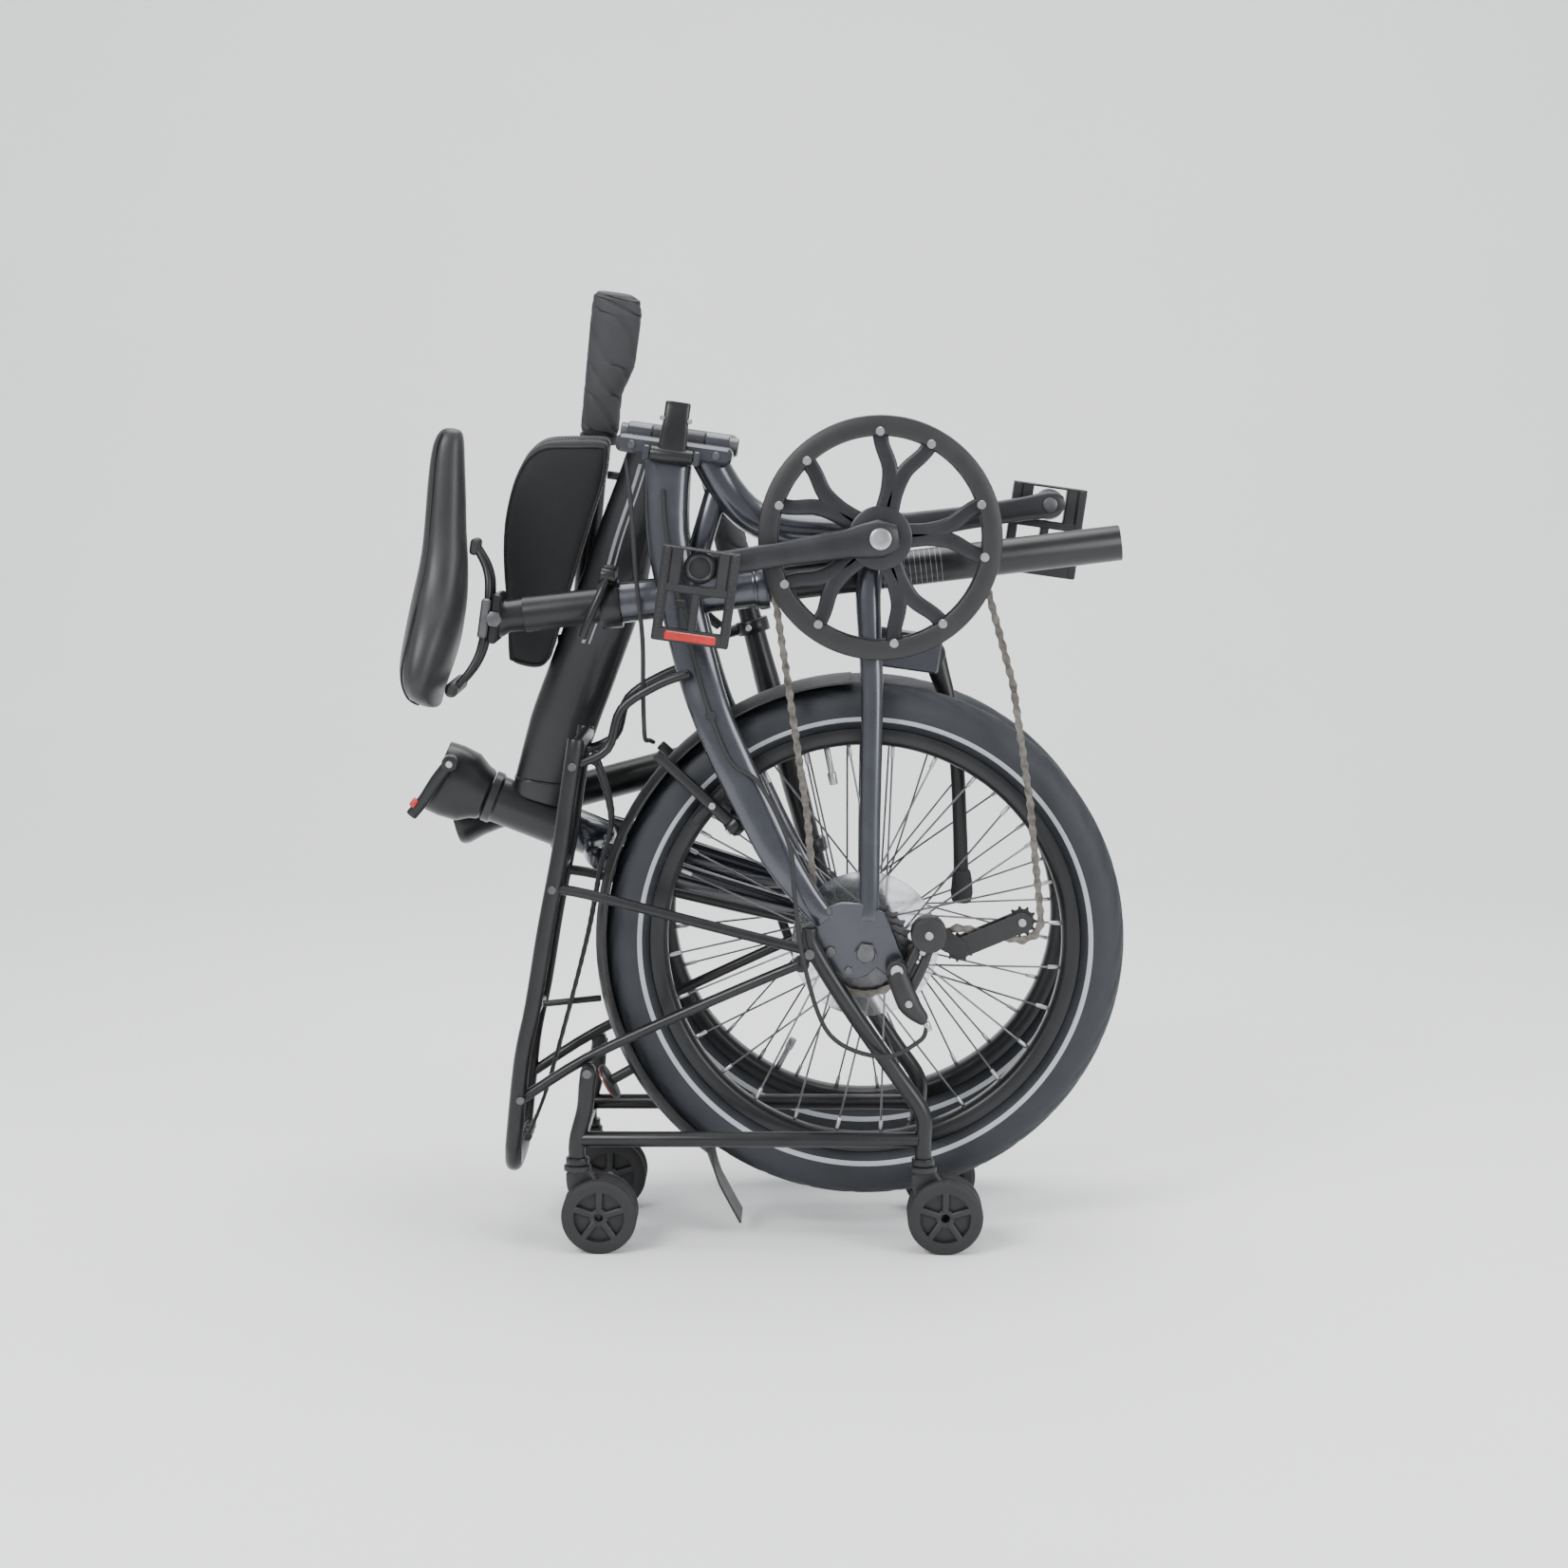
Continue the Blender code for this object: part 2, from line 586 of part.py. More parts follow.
def chain(bike):
    """The chain's run round the chainring, the sprocket and the two pulleys."""
    plane = CHAINRING_PLANE
    path = arc(BB, 108, -104, 100, 12, plane)
    path += [Vector((240, plane + 1.5, 110)), Vector((120, plane + 3, 75))]
    path += arc((0, 0), 44, 104, 285, 8, plane + 4.6)
    path += arc(GUIDE_PULLEY, 18.5, 12, -14, 2, plane + 1.5)
    path += arc(TENSION_PULLEY, 18.5, 170, 282, 5, plane + 1)
    path += [Vector((160, plane + 0.5, -134)), Vector((270, plane, -101))]
    rings = []
    for i, p in enumerate(path):
        along = (path[(i + 1) % len(path)] - path[i - 1]).normalized()
        out = (Y - along * Y.dot(along)).normalized()
        inside = out.cross(along)
        rings.append([p + inside * a + out * b for a, b in section(3.4, 3.0, 4, 1.0)])
    part("chain", skin(rings, closed=True), "chain", bike)


# ---------------------------------------------------------------- standing pose
def stood(x, y, z):
    """A point given on the standing bike: x ahead of the axle, z above it."""
    pitch = radians(90 - TAIL_PITCH)
    return Vector((x * sin(pitch) + z * cos(pitch), y, -x * cos(pitch) + z * sin(pitch)))


def stood_line(points, y=None):
    """Standing points turned into riding ones, all at one y when it is given."""
    if y is None:
        return [stood(*p) for p in points]
    return [stood(x, y, z) for x, z in points]


STOOD_X = stood(1, 0, 0)
STOOD_UP = stood(0, 0, 1)


def rack(bike):
    """The tail rack: a loop of tube with cross tubes and struts to the frame."""
    run = [(-272.5, 201.8), (-282.6, 137.7), (-289.2, 92.5), (-303.4, 19.8), (-315.8, -53.3),
           (-327.2, -108.4),
           (-336, -190)]
    right = stood_line(run, -60)
    bend_low = stood_line([(-337.5, -46, -208), (-338.4, -20, -214.9), (-338.4, 20, -214.9),
                           (-337.5, 46, -208)])
    left = stood_line(run[::-1], 60)
    whole = sweep(right + bend_low + left, 8, 8, Vector(STOOD_X))
    top = stood_line([(-271.5, -60, 194), (-271.5, 60, 194)])
    bars = [rod(*top, 7, 8)]
    for x, z in ((-292.5, 72), (-318.5, -68)):
        bars.append(rod(stood(x, -60, z), stood(x, 60, z), 5.5, 8))

    def struts(side):
        low = stood_line([(-295, side * 60, 59), (-262.6, side * 61, 53.8), (-75, side * 74.5, 8),
                          (-52, side * 75, 3)])
        high = stood_line([(-327, side * 60, -144), (-263.9, side * 61, -103.4), (-84, side * 74.5, -19),
                           (-61, side * 75, -9.8)])
        upper = stood_line([(-276, side * 59, 176), (-243.8, side * 56, 191.6), (-230.4, side * 52, 229),
                            (-196, side * 51, 252), (-166, side * 51, 263)])
        eye_low = rod(stood(-52, side * 70, 3), stood(-52, side * 79, 3), 8, 10)
        eye_high = rod(stood(-61, side * 70, -9.8), stood(-61, side * 79, -9.8), 8, 10)
        link = rod(stood(-52, side * 75, 3), stood(-61, side * 75, -9.8), 5, 8)
        return [sweep(low, 5, 8), sweep(high, 5, 8), sweep(upper, 4.5, 8), eye_low, eye_high, link]
    union(whole, *bars, *struts(-1), *struts(1))
    part("rack", whole, "black_satin", bike, stood(-300, 0, 0))


def trolley(bike):
    """The castor frame under the rack: a side frame each side and a cross tube."""
    def side_frame(side):
        y = side * STAND_HALF
        left_leg = stood_line([(-266, -150), (CASTOR_LEFT, -180), (CASTOR_LEFT, -203)], y)
        bar = stood_line([(-270, -178.7), (50, -178.7)], y)
        right_leg = stood_line([(-53, 27), (-50, 8), (-17.5, -45.5), (28.9, -115), (54, -152.6),
                                (CASTOR_RIGHT, -180),
                                (CASTOR_RIGHT, -203)], y)
        hook = stood_line([(-266, -150), (-264, -128), (-262, -113)], y)
        tab = rod(stood(-53, side * 80.5, 3), stood(-53, side * 88, 3), 9, 10)
        clip = rod(stood(-263, side * 66.3, -114), stood(-263, side * 84, -114), 7, 10)
        return [sweep(left_leg, 8, 10), sweep(bar, 7.5, 10),
                sweep([p + Y * side * 10 for p in right_leg[:3]]
                + right_leg[3:], 8, 10), sweep(hook, 7, 8), tab, clip]
    cross = rod(stood(-273.4, -STAND_HALF, -187), stood(-273.4, STAND_HALF, -187), 6.5, 10)
    whole = union(cross, *side_frame(-1), *side_frame(1))
    part("trolley_frame", whole, "black_satin", bike, stood(-263, 0, -114))


def castor(bike, name, x, side):
    """A swivelling twin castor: the leg clips over the spool between its two treads."""
    y = side * STAND_HALF
    top = stood(x, y, CASTOR_TOP)
    hub = stood(x + CASTOR_TRAIL, y, CASTOR_AXLE)
    stem = spindle([(13, 0), (13, -5), (10, -6)], top, STOOD_UP, 14)
    leg = sweep([stood(x, y, CASTOR_TOP - 4), stood(x + 4, y, CASTOR_TOP - 18),
                 stood(x + 12, y, CASTOR_AXLE + 16),
                 stood(x + CASTOR_TRAIL, y, CASTOR_AXLE - 3)],
                [(11, 5), (15, 5), (15, 5), (14, 5)], 8, Y, 0.6)
    housing = cut(union(stem, leg), rod(hub - Y * 9, hub + Y * 9, 9.3, 16))
    part(f"{name}_castor_fork", housing, "plastic", bike, top)
    profile = [(5, -19), (31, -19), (CASTOR_RADIUS, -15), (CASTOR_RADIUS, -6), (9, -6), (9, 6),
               (CASTOR_RADIUS, 6),
               (CASTOR_RADIUS, 15), (31, 19), (5, 19)]
    part(f"{name}_castor_wheel", turned(profile, hub, Y, 18), "rubber", bike, hub)


def fender_group(bike):
    """The rear mudguard with its flap and reflector, and the bungee straps behind it."""
    strip = []
    for k in range(15):
        angle = radians(11 + 141 * k / 14)
        strip.append((FENDER_RADIUS * cos(angle), 0, FENDER_RADIUS * sin(angle)))
    strip += [(-250, 0, 108), (-288, 0, 80)]
    shell = sweep(strip, (1.6, 28), 6, Y, 0.5)
    tab = rod(stood(-250, 10, -60), stood(-312.6, 10, -66), 3.2, 8)
    aim = stood(-0.870, 0, -0.493)
    lamp = spindle([(5, 0), (5, 24), (18, 25), (18, 32)], aim * FENDER_RADIUS, aim, 18)
    part("rear_fender", union(shell, tab, lamp), "plastic", bike, (0, 0, FENDER_RADIUS))
    bands = []
    run = stood_line([(-258, 176), (-244, 120), (-255, 70), (-266.8, 9), (-285.8, -65.5), (-309.7, -150),
                      (-326, -190)], 0)
    path = smooth_path(run, 2)
    for y in (-20, 0, 20):
        bands.append(sweep([p + Y * y for p in path], (1.4, 4.5), 6, Y, 0.6))
    ends = [block(end - Vector((4, 26, 4)), end + Vector((4, 26, 4))) for end in (path[0], path[-1])]
    part("bungee_straps", union(*bands, *ends), "fabric", bike, path[0])


def kickstand(bike):
    y = 45
    path = [(281, y, -28), (262, y, -36), (236.2, y, -48), (182.4, y, -64.5), (120, y, -77),
            (68.3, y, -86)]
    leg = sweep(path, [(11, 6), (10, 6), (8, 6), (7, 6), (7, 6), (7.5, 6.5)], 8)
    boss = rod((281, 34.4, -28), (281, 52, -28), 11, 14)
    foot = sweep([(72, y, -86), (52, y, -89), (42, y, -90)], [8, 11, 10], 10)
    part("kickstand_leg", union(leg, boss, foot), "black_satin", bike, (281, 45, -28))


def derailleur(bike):
    """The rear derailleur's body, its spring cage and the two jockey wheels."""
    hanger = rod(stood(28.8, -70, -13.7), stood(28.8, -92, -13.7), 10, 12)
    body = union(hanger, sweep(stood_line([(28, -88, -14), (40, -90, -44), (56.5, -90, -62)]),
                               [(10, 7), (11, 8), (4, 4)], 8),
                 sweep(stood_line([(34, -84, -36), (48, -82, -8), (59, -80, 20)]),
                       [(12, 7), (11, 7), (12, 7)], 8),
                 rod(stood(59, -66, 20), stood(59, -92, 20), 17, 18))
    part("derailleur_body", body, "plastic", bike, stood(28.8, -80, -13.7))
    guide, tension = GUIDE_PULLEY, TENSION_PULLEY
    plates = []
    for low, high in ((-59.5, -56.5), (-42.5, -39.5)):
        plates.append(rounded_plate((guide, tension), 12, low, high, 5))
    knuckle = rod(stood(59, -56.5, 20), stood(59, -65.6, 20), 15, 16)
    knee = stood(59, 0, 20)
    arm = rounded_plate(((knee.x, knee.z), guide), 11, -59.5, -56.5, 5)
    pins = [rod((f, -58, h), (f, -41, h), 3, 8) for f, h in (guide, tension)]
    cage = union(plates[0], plates[1], arm, knuckle, *pins)
    part("derailleur_cage", cage, "plastic", bike, stood(59, -60, 20))
    for name, (f, h), radius in (("guide_pulley", guide, 14.5), ("tension_pulley", tension, 14.5)):
        disc = turned([(3.3, -52), (8, -52), (radius, -50.5), (radius, -47.5), (8, -46), (3.3, -46)],
                      (f, 0, h), Y, 18)
        part(name, disc, "plastic", bike, (f, -49, h))


def brakes(bike):
    """The rear brake's two arms, each with its pad, swinging on the stays' posts."""
    for side, name in ((-1, "right"), (1, "left")):
        pivot = Vector((*BRAKE_PIVOT[:1], side * 38, BRAKE_PIVOT[1]))
        arm = sweep([pivot - BRAKE_ALONG * 10, pivot, pivot + BRAKE_ALONG * 60,
                     pivot + BRAKE_ALONG * 101],
                    [(5, 4), (6, 4.5), (5.5, 4), (5, 4)], 8)
        boss = rod(pivot - BRAKE_AXIS * 6, pivot + BRAKE_AXIS * 7, 8, 12)
        at = Vector((BRAKE_ALONG.x * 199, 0, BRAKE_ALONG.z * 199))
        pad = sweep([at - BRAKE_AXIS * 26 + Y * side * 18.5, at + BRAKE_AXIS * 26 + Y * side * 18.5],
                    (4.6, 4.5), 8,
                    Y, 0.6)
        stub = rod(at + Y * side * 20, at + Y * side * 36, 4, 8)
        part(f"{name}_brake_arm", union(arm, boss, pad, stub), "black_satin", bike, pivot)


BRAKE_ALONG = Vector((BRAKE_PIVOT[0], 0, BRAKE_PIVOT[1])).normalized()
BRAKE_AXIS = Vector((-BRAKE_ALONG.z, 0, BRAKE_ALONG.x))


def cable(name, points, radius, parent):
    """A cable through points, as a filled curve turned to a mesh."""
    path = smooth_path(points, 3)
    curve = bpy.data.curves.new(name, "CURVE")
    curve.dimensions = "3D"
    curve.bevel_depth = radius
    curve.bevel_resolution = 1
    curve.use_fill_caps = True
    curve.render_resolution_u = 0
    line = curve.splines.new("POLY")
    line.points.add(len(path) - 1)
    for place, p in zip(line.points, path):
        place.co = (*p, 1)
    held = bpy.data.objects.new(name, curve)
    bpy.context.scene.collection.objects.link(held)
    bpy.context.view_layer.update()
    mesh = bpy.data.meshes.new_from_object(held.evaluated_get(bpy.context.evaluated_depsgraph_get()))
    bpy.data.objects.remove(held, do_unlink=True)
    bm = bmesh.new()
    bm.from_mesh(mesh)
    bmesh.ops.remove_doubles(bm, verts=bm.verts, dist=0.01)
    part(name, solid(bm), "rubber", parent, path[0])


def cables(bike):
    shift = stood_line([(57.2, -91, -67), (50, -94, -80), (15, -98, -94), (-34, -101, -72),
                        (-58, -101.5, -4.7),
                        (-67, -97, 60), (-72, -86, 105), (-100, -68, 160)])
    shift += [Vector(p) for p in ((161, -64, 151), (201, -58.5, 176), (243, -47.5, 196),
                                  (300, -40.5, 219),
                                  (363, -35.5, 241), (404, -33, 250))]
    cable("derailleur_cable", shift, 2.2, bike)
    pull = [(158, 30, 229), (163, 0, 232), (167, -28, 235), (184, -38, 238), (215, -38, 243),
            (262, -37, 250),
            (320, -36, 264), (380, -28, 277), (428, -17, 289)]
    cable("brake_cable", pull, 2.2, bike)


# ---------------------------------------------------------------- front half
def front_frame(front):
    """The front main tube with its hinge casting, head tube and handle clamps."""
    lug = hinge_lug(1)
    arm = block((457, 20, FRONT_KNUCKLE[0]), (467, HINGE[1], FRONT_KNUCKLE[1]))
    centres = [(458, 0, 266), (505, 0, 274), (560, 0, 285), (620, 0, 294), (700, 0, 311.5), (760, 0, 325),
               (838, 0, 338)]
    tube = sweep(centres, [(25, 21), (27, 20), (29, 20), (33, 20), (33.5, 20), (33.5, 21), (30, 20)], 14,
                 Y, 0.75)
    head = sweep([head_point(308), head_point(391)], 24, 20)
    lips = [sweep([head_point(a), head_point(b)], 26.5, 18) for a, b in ((308, 316), (383, 391))]
    bolts = [rod((f, 0, low), (f, 0, high), 4, 8) for f, low,
             high in ((502, 292, 311.4), (672, 330, 340.6))]
    clamps = []
    for f in (680, 760):
        at = pull_rod_point(f)
        ring = turned([(11.3, -8), (16, -8), (16, 8), (11.3, 8)], at, PULL_ALONG, 18)
        clamps += [ring, block((f - 8, -37, at.z - 9), (f + 8, -14, at.z + 9))]
    whole = union(lug, arm, *knuckles([FRONT_KNUCKLE]), tube, head, *lips, *bolts, *clamps)
    cut(whole, sweep([head_point(300), head_point(400)], 13.3, 16),
        spindle([(6.3, 190), (6.3, 300)], (*HINGE, 0), (0, 0, 1), 12),
        rod(pull_rod_point(650), pull_rod_point(786), 11.3, 18))
    part("front_frame", whole, "charcoal", front, (*HINGE, 0))


PULL_START, PULL_END = Vector((790, -48.6, 318.5)), Vector((335, -48.6, 331.5))
PULL_ALONG = (PULL_END - PULL_START).normalized()


def pull_rod_point(f):
    return PULL_START.lerp(PULL_END, (PULL_START.x - f) / (PULL_START.x - PULL_END.x))


def pull_handle(front):
    tube = rod(pull_rod_point(790), pull_rod_point(345), 11, 16)
    part("pull_handle", tube, "black_satin", front, PULL_START)
    stations = ((472, 17, 15, 0), (466, 19, 17, 0), (430, 19, 17, 0), (400, 24, 16, -5),
                (350, 25, 15, -6),
                (336, 23, 13.5, -5), (332, 17, 11, -3))
    rings = []
    for f, wide, thick, shift in stations:
        middle = pull_rod_point(f)
        rings.append([middle + Vector((0, b, a + shift)) for a, b in section(wide, thick, 16, 0.9)])
    grip = cut(skin(rings), rod(pull_rod_point(480), pull_rod_point(344.7), 11.3, 16))
    part("pull_grip", grip, "grip", front, pull_rod_point(472))


def bag(front):
    outline = [(514.9, 400), (484.5, 387), (473.5, 369.6), (466, 317), (470, 312.2), (502.1, 312.2),
               (541.2, 319.6), (620, 333.6), (679.7, 342.8), (694.6, 345.5), (701.8, 359.8),
               (699.9, 380.9), (650, 391), (591.7, 403), (553.4, 404.3)]
    middle = (585.0, 360.0)
    rings = []
    for y, scale in ((-28, 0.86), (-26, 0.95), (-21, 1.0), (21, 1.0), (26, 0.95), (28, 0.86)):
        rings.append([Vector((middle[0] + (f - middle[0]) * scale, y,
                              middle[1] + (h - middle[1]) * scale))
                      for f, h in outline])
    part("frame_bag", skin(rings), "fabric", front, (585, 0, 312))


def fork(front):
    """The fork, turned back to front for folding, with the front axle."""
    steerer = sweep([head_point(290), head_point(430)], 13, 16)
    neck = sweep([head_point(270), head_point(307.6)], 21, 16)
    crown = sweep([(878, -50, 268), (878, -30, 271), (878, 30, 271), (878, 50, 268)],
                  [(11, 12), (20, 13), (20, 13), (11, 12)],
                  12, Vector((0, 0, 1)), 0.7)
    blades = mirrored(lambda side: sweep([(878, side * 44, 270), (884, side * 44, 225),
                                          (892, side * 44, 180),
                                          (902, side * 43.5, 110), (907.5, side * 43, 60),
                                          (FRONT_AXLE, side * 42, 8)],
                                         [(19, 9), (19, 9), (18, 8), (15, 6), (12, 5), (9, 3)], 10))
    drops = mirrored(lambda side: rod((FRONT_AXLE, side * 39, 0), (FRONT_AXLE, side * 45, 0), 13, 14))
    axle = spindle([(9, -53), (9, -44), (7, -44), (7, 44), (9, 44), (9, 53)], (FRONT_AXLE, 0, 0), Y, 14)
    whole = union(steerer, neck, crown, *blades, *drops, axle)
    part("fork", whole, "navy", front, head_point(350))


def handlepost_base(front):
    body = sweep([head_point(391.4), head_point(400), head_point(412), head_point(444.4)],
                 [(26, 26), (28, 26), (36, 27), (38, 27)], 16, Y, 0.85)
    barrel = rod(POST_PIVOT - POST_HINGE_AXIS * 12, POST_PIVOT + POST_HINGE_AXIS * 12, 9, 14)
    web = sweep([head_point(424), POST_PIVOT - HEAD_UP * 3], [(15, 8), (9, 7)], 8, HEAD_UP)
    whole = cut(union(body, web, barrel), sweep([head_point(380), head_point(431)], 13.3, 16))
    part("handlepost_base", whole, "black_satin", front, head_point(391.4))
    hinge = Vector((806, 32, 430))
    lever = sweep(smooth_path([(804, 33, 429), (825, 34, 441), (848, 34, 452), (866, 33, 463)], 2),
                  (6, 4), 8, Y, 0.7)
    boss = rod((806, 27.4, 430), (806, 38, 430), 8, 14)
    part("handlepost_latch", union(lever, boss), "plastic", front, hinge)


def handlepost(post):
    """The folding post, drawn upright, and the bar, grips and levers it carries."""
    low, high = POST_FOOT + HEAD_UP * 0.6, POST_FOOT + HEAD_UP * (POST_LENGTH - 12)
    bar = POST_FOOT + HEAD_UP * POST_LENGTH
    foot = sweep([low, low + HEAD_UP * 10, low + HEAD_UP * 26, low + HEAD_UP * 40],
                 [(30, 24), (30, 24), (24, 20), (17, 17)],
                 14)
    tube = sweep([low + HEAD_UP * 20, high], [18, 16.5], 16)
    arm = sweep([POST_PIVOT + POST_HINGE_AXIS * 20 + HEAD_UP * 3,
                 POST_PIVOT + POST_HINGE_AXIS * 12 + HEAD_UP * 24,
                 POST_FOOT + HEAD_UP * 30], [(8, 6), (10, 7), (10, 8)], 8)
    barrel = rod(POST_PIVOT + POST_HINGE_AXIS * 12.4, POST_PIVOT + POST_HINGE_AXIS * 25, 9, 14)
    clamp = rod(bar - Y * 24, bar + Y * 24, 20, 18)
    whole = cut(union(tube, foot, arm, barrel, clamp), rod(bar - Y * 40, bar + Y * 40, 13.3, 16))
    part("handlepost", whole, "black_satin", post, POST_PIVOT)
    reach = BAR_HALF - 4
    radii = [11, 11, 11, 12, 13, 13, 12, 11, 11, 11]
    places = [-reach, -150, -120, -80, -45, 45, 80, 120, 150, reach]
    tube = sweep([bar + Y * y for y in places], radii, 16, HEAD_UP)
    part("handlebar", union(tube, lever_clamp(-1, bar), lever_clamp(1, bar)), "black_satin", post, bar)
    for side, name in ((-1, "right"), (1, "left")):
        rings = []
        for y, wide, thick, shift in ((158, 15, 15, 0), (162, 17, 17, 0), (200, 16.5, 16.5, 0),
                                      (235, 22, 15, -6),
                                      (275, 24, 14, -9), (290, 21, 12, -7), (BAR_HALF + 3, 15, 8, -4)):
            rings.append([bar + Vector((a + shift, side * y, b)) for a,
                          b in section(wide, thick, 16, 0.9)])
        grip = cut(skin(rings), rod(bar + Y * side * 140, bar + Y * side * (BAR_HALF - 3.6), 11.3, 16))
        part(f"{name}_grip", grip, "grip", post, bar + Y * side * 158)
        lever(post, side, name, bar)


def lever(post, side, name, bar):
    """A brake lever hanging below the bar from its clamp."""
    hinge = bar + Vector((9, side * 126, -31))
    path = smooth_path([hinge, hinge + Vector((2, side * 20, -12)), hinge + Vector((4, side * 60, -16)),
                        hinge + Vector((3, side * 105, -10))], 2)
    part(f"{name}_brake_lever", sweep(path, (5, 3.5), 8, HEAD_UP), "black_satin", post, hinge)


def lever_clamp(side, bar):
    """The ring that holds a lever on the bar, with its stalk."""
    ring = rod(bar + Y * (side * 118 - 7), bar + Y * (side * 118 + 7), 17, 18)
    stalk = sweep([bar + Vector((3, side * 118, -12)), bar + Vector((8, side * 118, -31))],
                  [(7, 6), (7, 6)], 8)
    return union(ring, stalk)


# ---------------------------------------------------------------- build
def build():
    clear_scene()
    bike, front, post = make_frames()
    rear_frame(bike)
    hinge_hardware(bike)
    seat_clamp(bike)
    seat_group(bike)
    wheels(bike, front)
    crankset(bike)
    chain(bike)
    rack(bike)
    trolley(bike)
    for name, x, side in (("rear_right", CASTOR_LEFT, -1), ("rear_left", CASTOR_LEFT, 1),
                          ("front_right", CASTOR_RIGHT, -1), ("front_left", CASTOR_RIGHT, 1)):
        castor(bike, name, x, side)
    fender_group(bike)
    kickstand(bike)
    derailleur(bike)
    brakes(bike)
    cables(bike)
    front_frame(front)
    pull_handle(front)
    bag(front)
    fork(front)
    handlepost_base(front)
    handlepost(post)


build()
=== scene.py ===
"""Looks of the folded bicycle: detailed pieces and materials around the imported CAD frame."""
import json
from math import atan2, cos, pi, radians, sin, tan

import bmesh
import bpy
from mathutils import Matrix, Vector


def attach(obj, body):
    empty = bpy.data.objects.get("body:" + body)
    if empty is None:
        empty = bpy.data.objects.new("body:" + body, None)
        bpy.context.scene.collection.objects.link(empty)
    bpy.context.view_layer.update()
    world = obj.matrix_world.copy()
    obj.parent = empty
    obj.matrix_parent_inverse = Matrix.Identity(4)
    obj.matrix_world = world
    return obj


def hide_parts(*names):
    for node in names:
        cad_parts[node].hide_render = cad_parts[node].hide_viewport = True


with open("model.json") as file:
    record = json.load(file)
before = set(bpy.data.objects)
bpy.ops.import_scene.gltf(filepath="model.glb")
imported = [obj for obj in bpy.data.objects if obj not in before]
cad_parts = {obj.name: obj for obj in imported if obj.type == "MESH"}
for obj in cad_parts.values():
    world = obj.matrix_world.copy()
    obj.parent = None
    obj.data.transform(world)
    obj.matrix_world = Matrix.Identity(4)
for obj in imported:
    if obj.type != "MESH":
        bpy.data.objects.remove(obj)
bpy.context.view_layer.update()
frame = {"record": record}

MM = 0.001
Y = Vector((0, 1, 0))
H = Vector((0, 0, 1))

# ---------------------------------------------------------------- frames
JOINTS = {joint["name"]: joint for joint in frame["record"]["behaviour"]["joints"]}
AXLE = Vector(JOINTS["rear_wheel_spin"]["pos_m"])
TAIL_PITCH = 82.0
FOLD = 171.6
HINGE = (450.0, 44.0)
HEAD_LEAN = 14.0
SEAT_LEAN = 14.9
POST_FOLD = 156.0
POST_HINGE_AXIS = Vector((-0.668, -0.740, 0.081)).normalized()
BB = (388.0, 42.0)
CRANK_LENGTH = 169.0
REST_CRANK = 106.9
RING_PLANE = -50.0
FRONT_AXLE = 911.4
GUIDE_PULLEY, TENSION_PULLEY = (14.4, -87.9), (47.3, -142.8)
CASTOR_LEFT, CASTOR_RIGHT = -273.4, 55.0
CASTOR_TOP, CASTOR_AXLE, CASTOR_TRAIL = -203.4, -250.7, 21.0
STAND_HALF = 78.0
FENDER_RADIUS = 257.0
PULL_START, PULL_END = Vector((790, -48.6, 318.5)), Vector((335, -48.6, 331.5))
PULL_ALONG = (PULL_END - PULL_START).normalized()
SPOKES = 28
NIPPLE_CIRCLE = 189.6
WELD_BEADS = 40


def seat_point(up, y=0.0):
    lean = radians(SEAT_LEAN)
    return Vector((352.3 - up * sin(lean), y, 42.4 + up * cos(lean)))


def head_point(h, y=0.0):
    return Vector((843.4 - (h - 391.5) * tan(radians(HEAD_LEAN)), y, h))


HEAD_UP = Vector((-sin(radians(HEAD_LEAN)), 0, cos(radians(HEAD_LEAN))))
SEAT_UP = Vector((-sin(radians(SEAT_LEAN)), 0, cos(radians(SEAT_LEAN))))
POST_FOOT = head_point(445.0)
POST_PIVOT = POST_FOOT + Vector((34.8, -31.3, 0.4))
BAR = POST_FOOT + HEAD_UP * 348.0


def moved(place):
    return Matrix.Translation(Vector(place) * MM)


BIKE = Matrix.Translation(AXLE) @ Matrix.Rotation(-radians(TAIL_PITCH), 4, "Y")
FRONT = BIKE @ moved((*HINGE, 0)) @ Matrix.Rotation(radians(FOLD), 4,
                                                    "Z") @ moved((-HINGE[0], -HINGE[1], 0))
POST = FRONT @ moved(POST_PIVOT) @ Matrix.Rotation(radians(POST_FOLD), 4,
                                                   POST_HINGE_AXIS) @ moved(-POST_PIVOT)


def stood(x, y, z):
    """A point given on the standing bike, as a riding one."""
    pitch = radians(90 - TAIL_PITCH)
    return Vector((x * sin(pitch) + z * cos(pitch), y, -x * cos(pitch) + z * sin(pitch)))


def stood_line(points, y=None):
    if y is None:
        return [stood(*p) for p in points]
    return [stood(x, y, z) for x, z in points]


# ---------------------------------------------------------------- materials
def node(tree, kind, **inputs):
    made = tree.nodes.new(kind)
    for name, value in inputs.items():
        made.inputs[name.replace("_", " ")].default_value = value
    return made


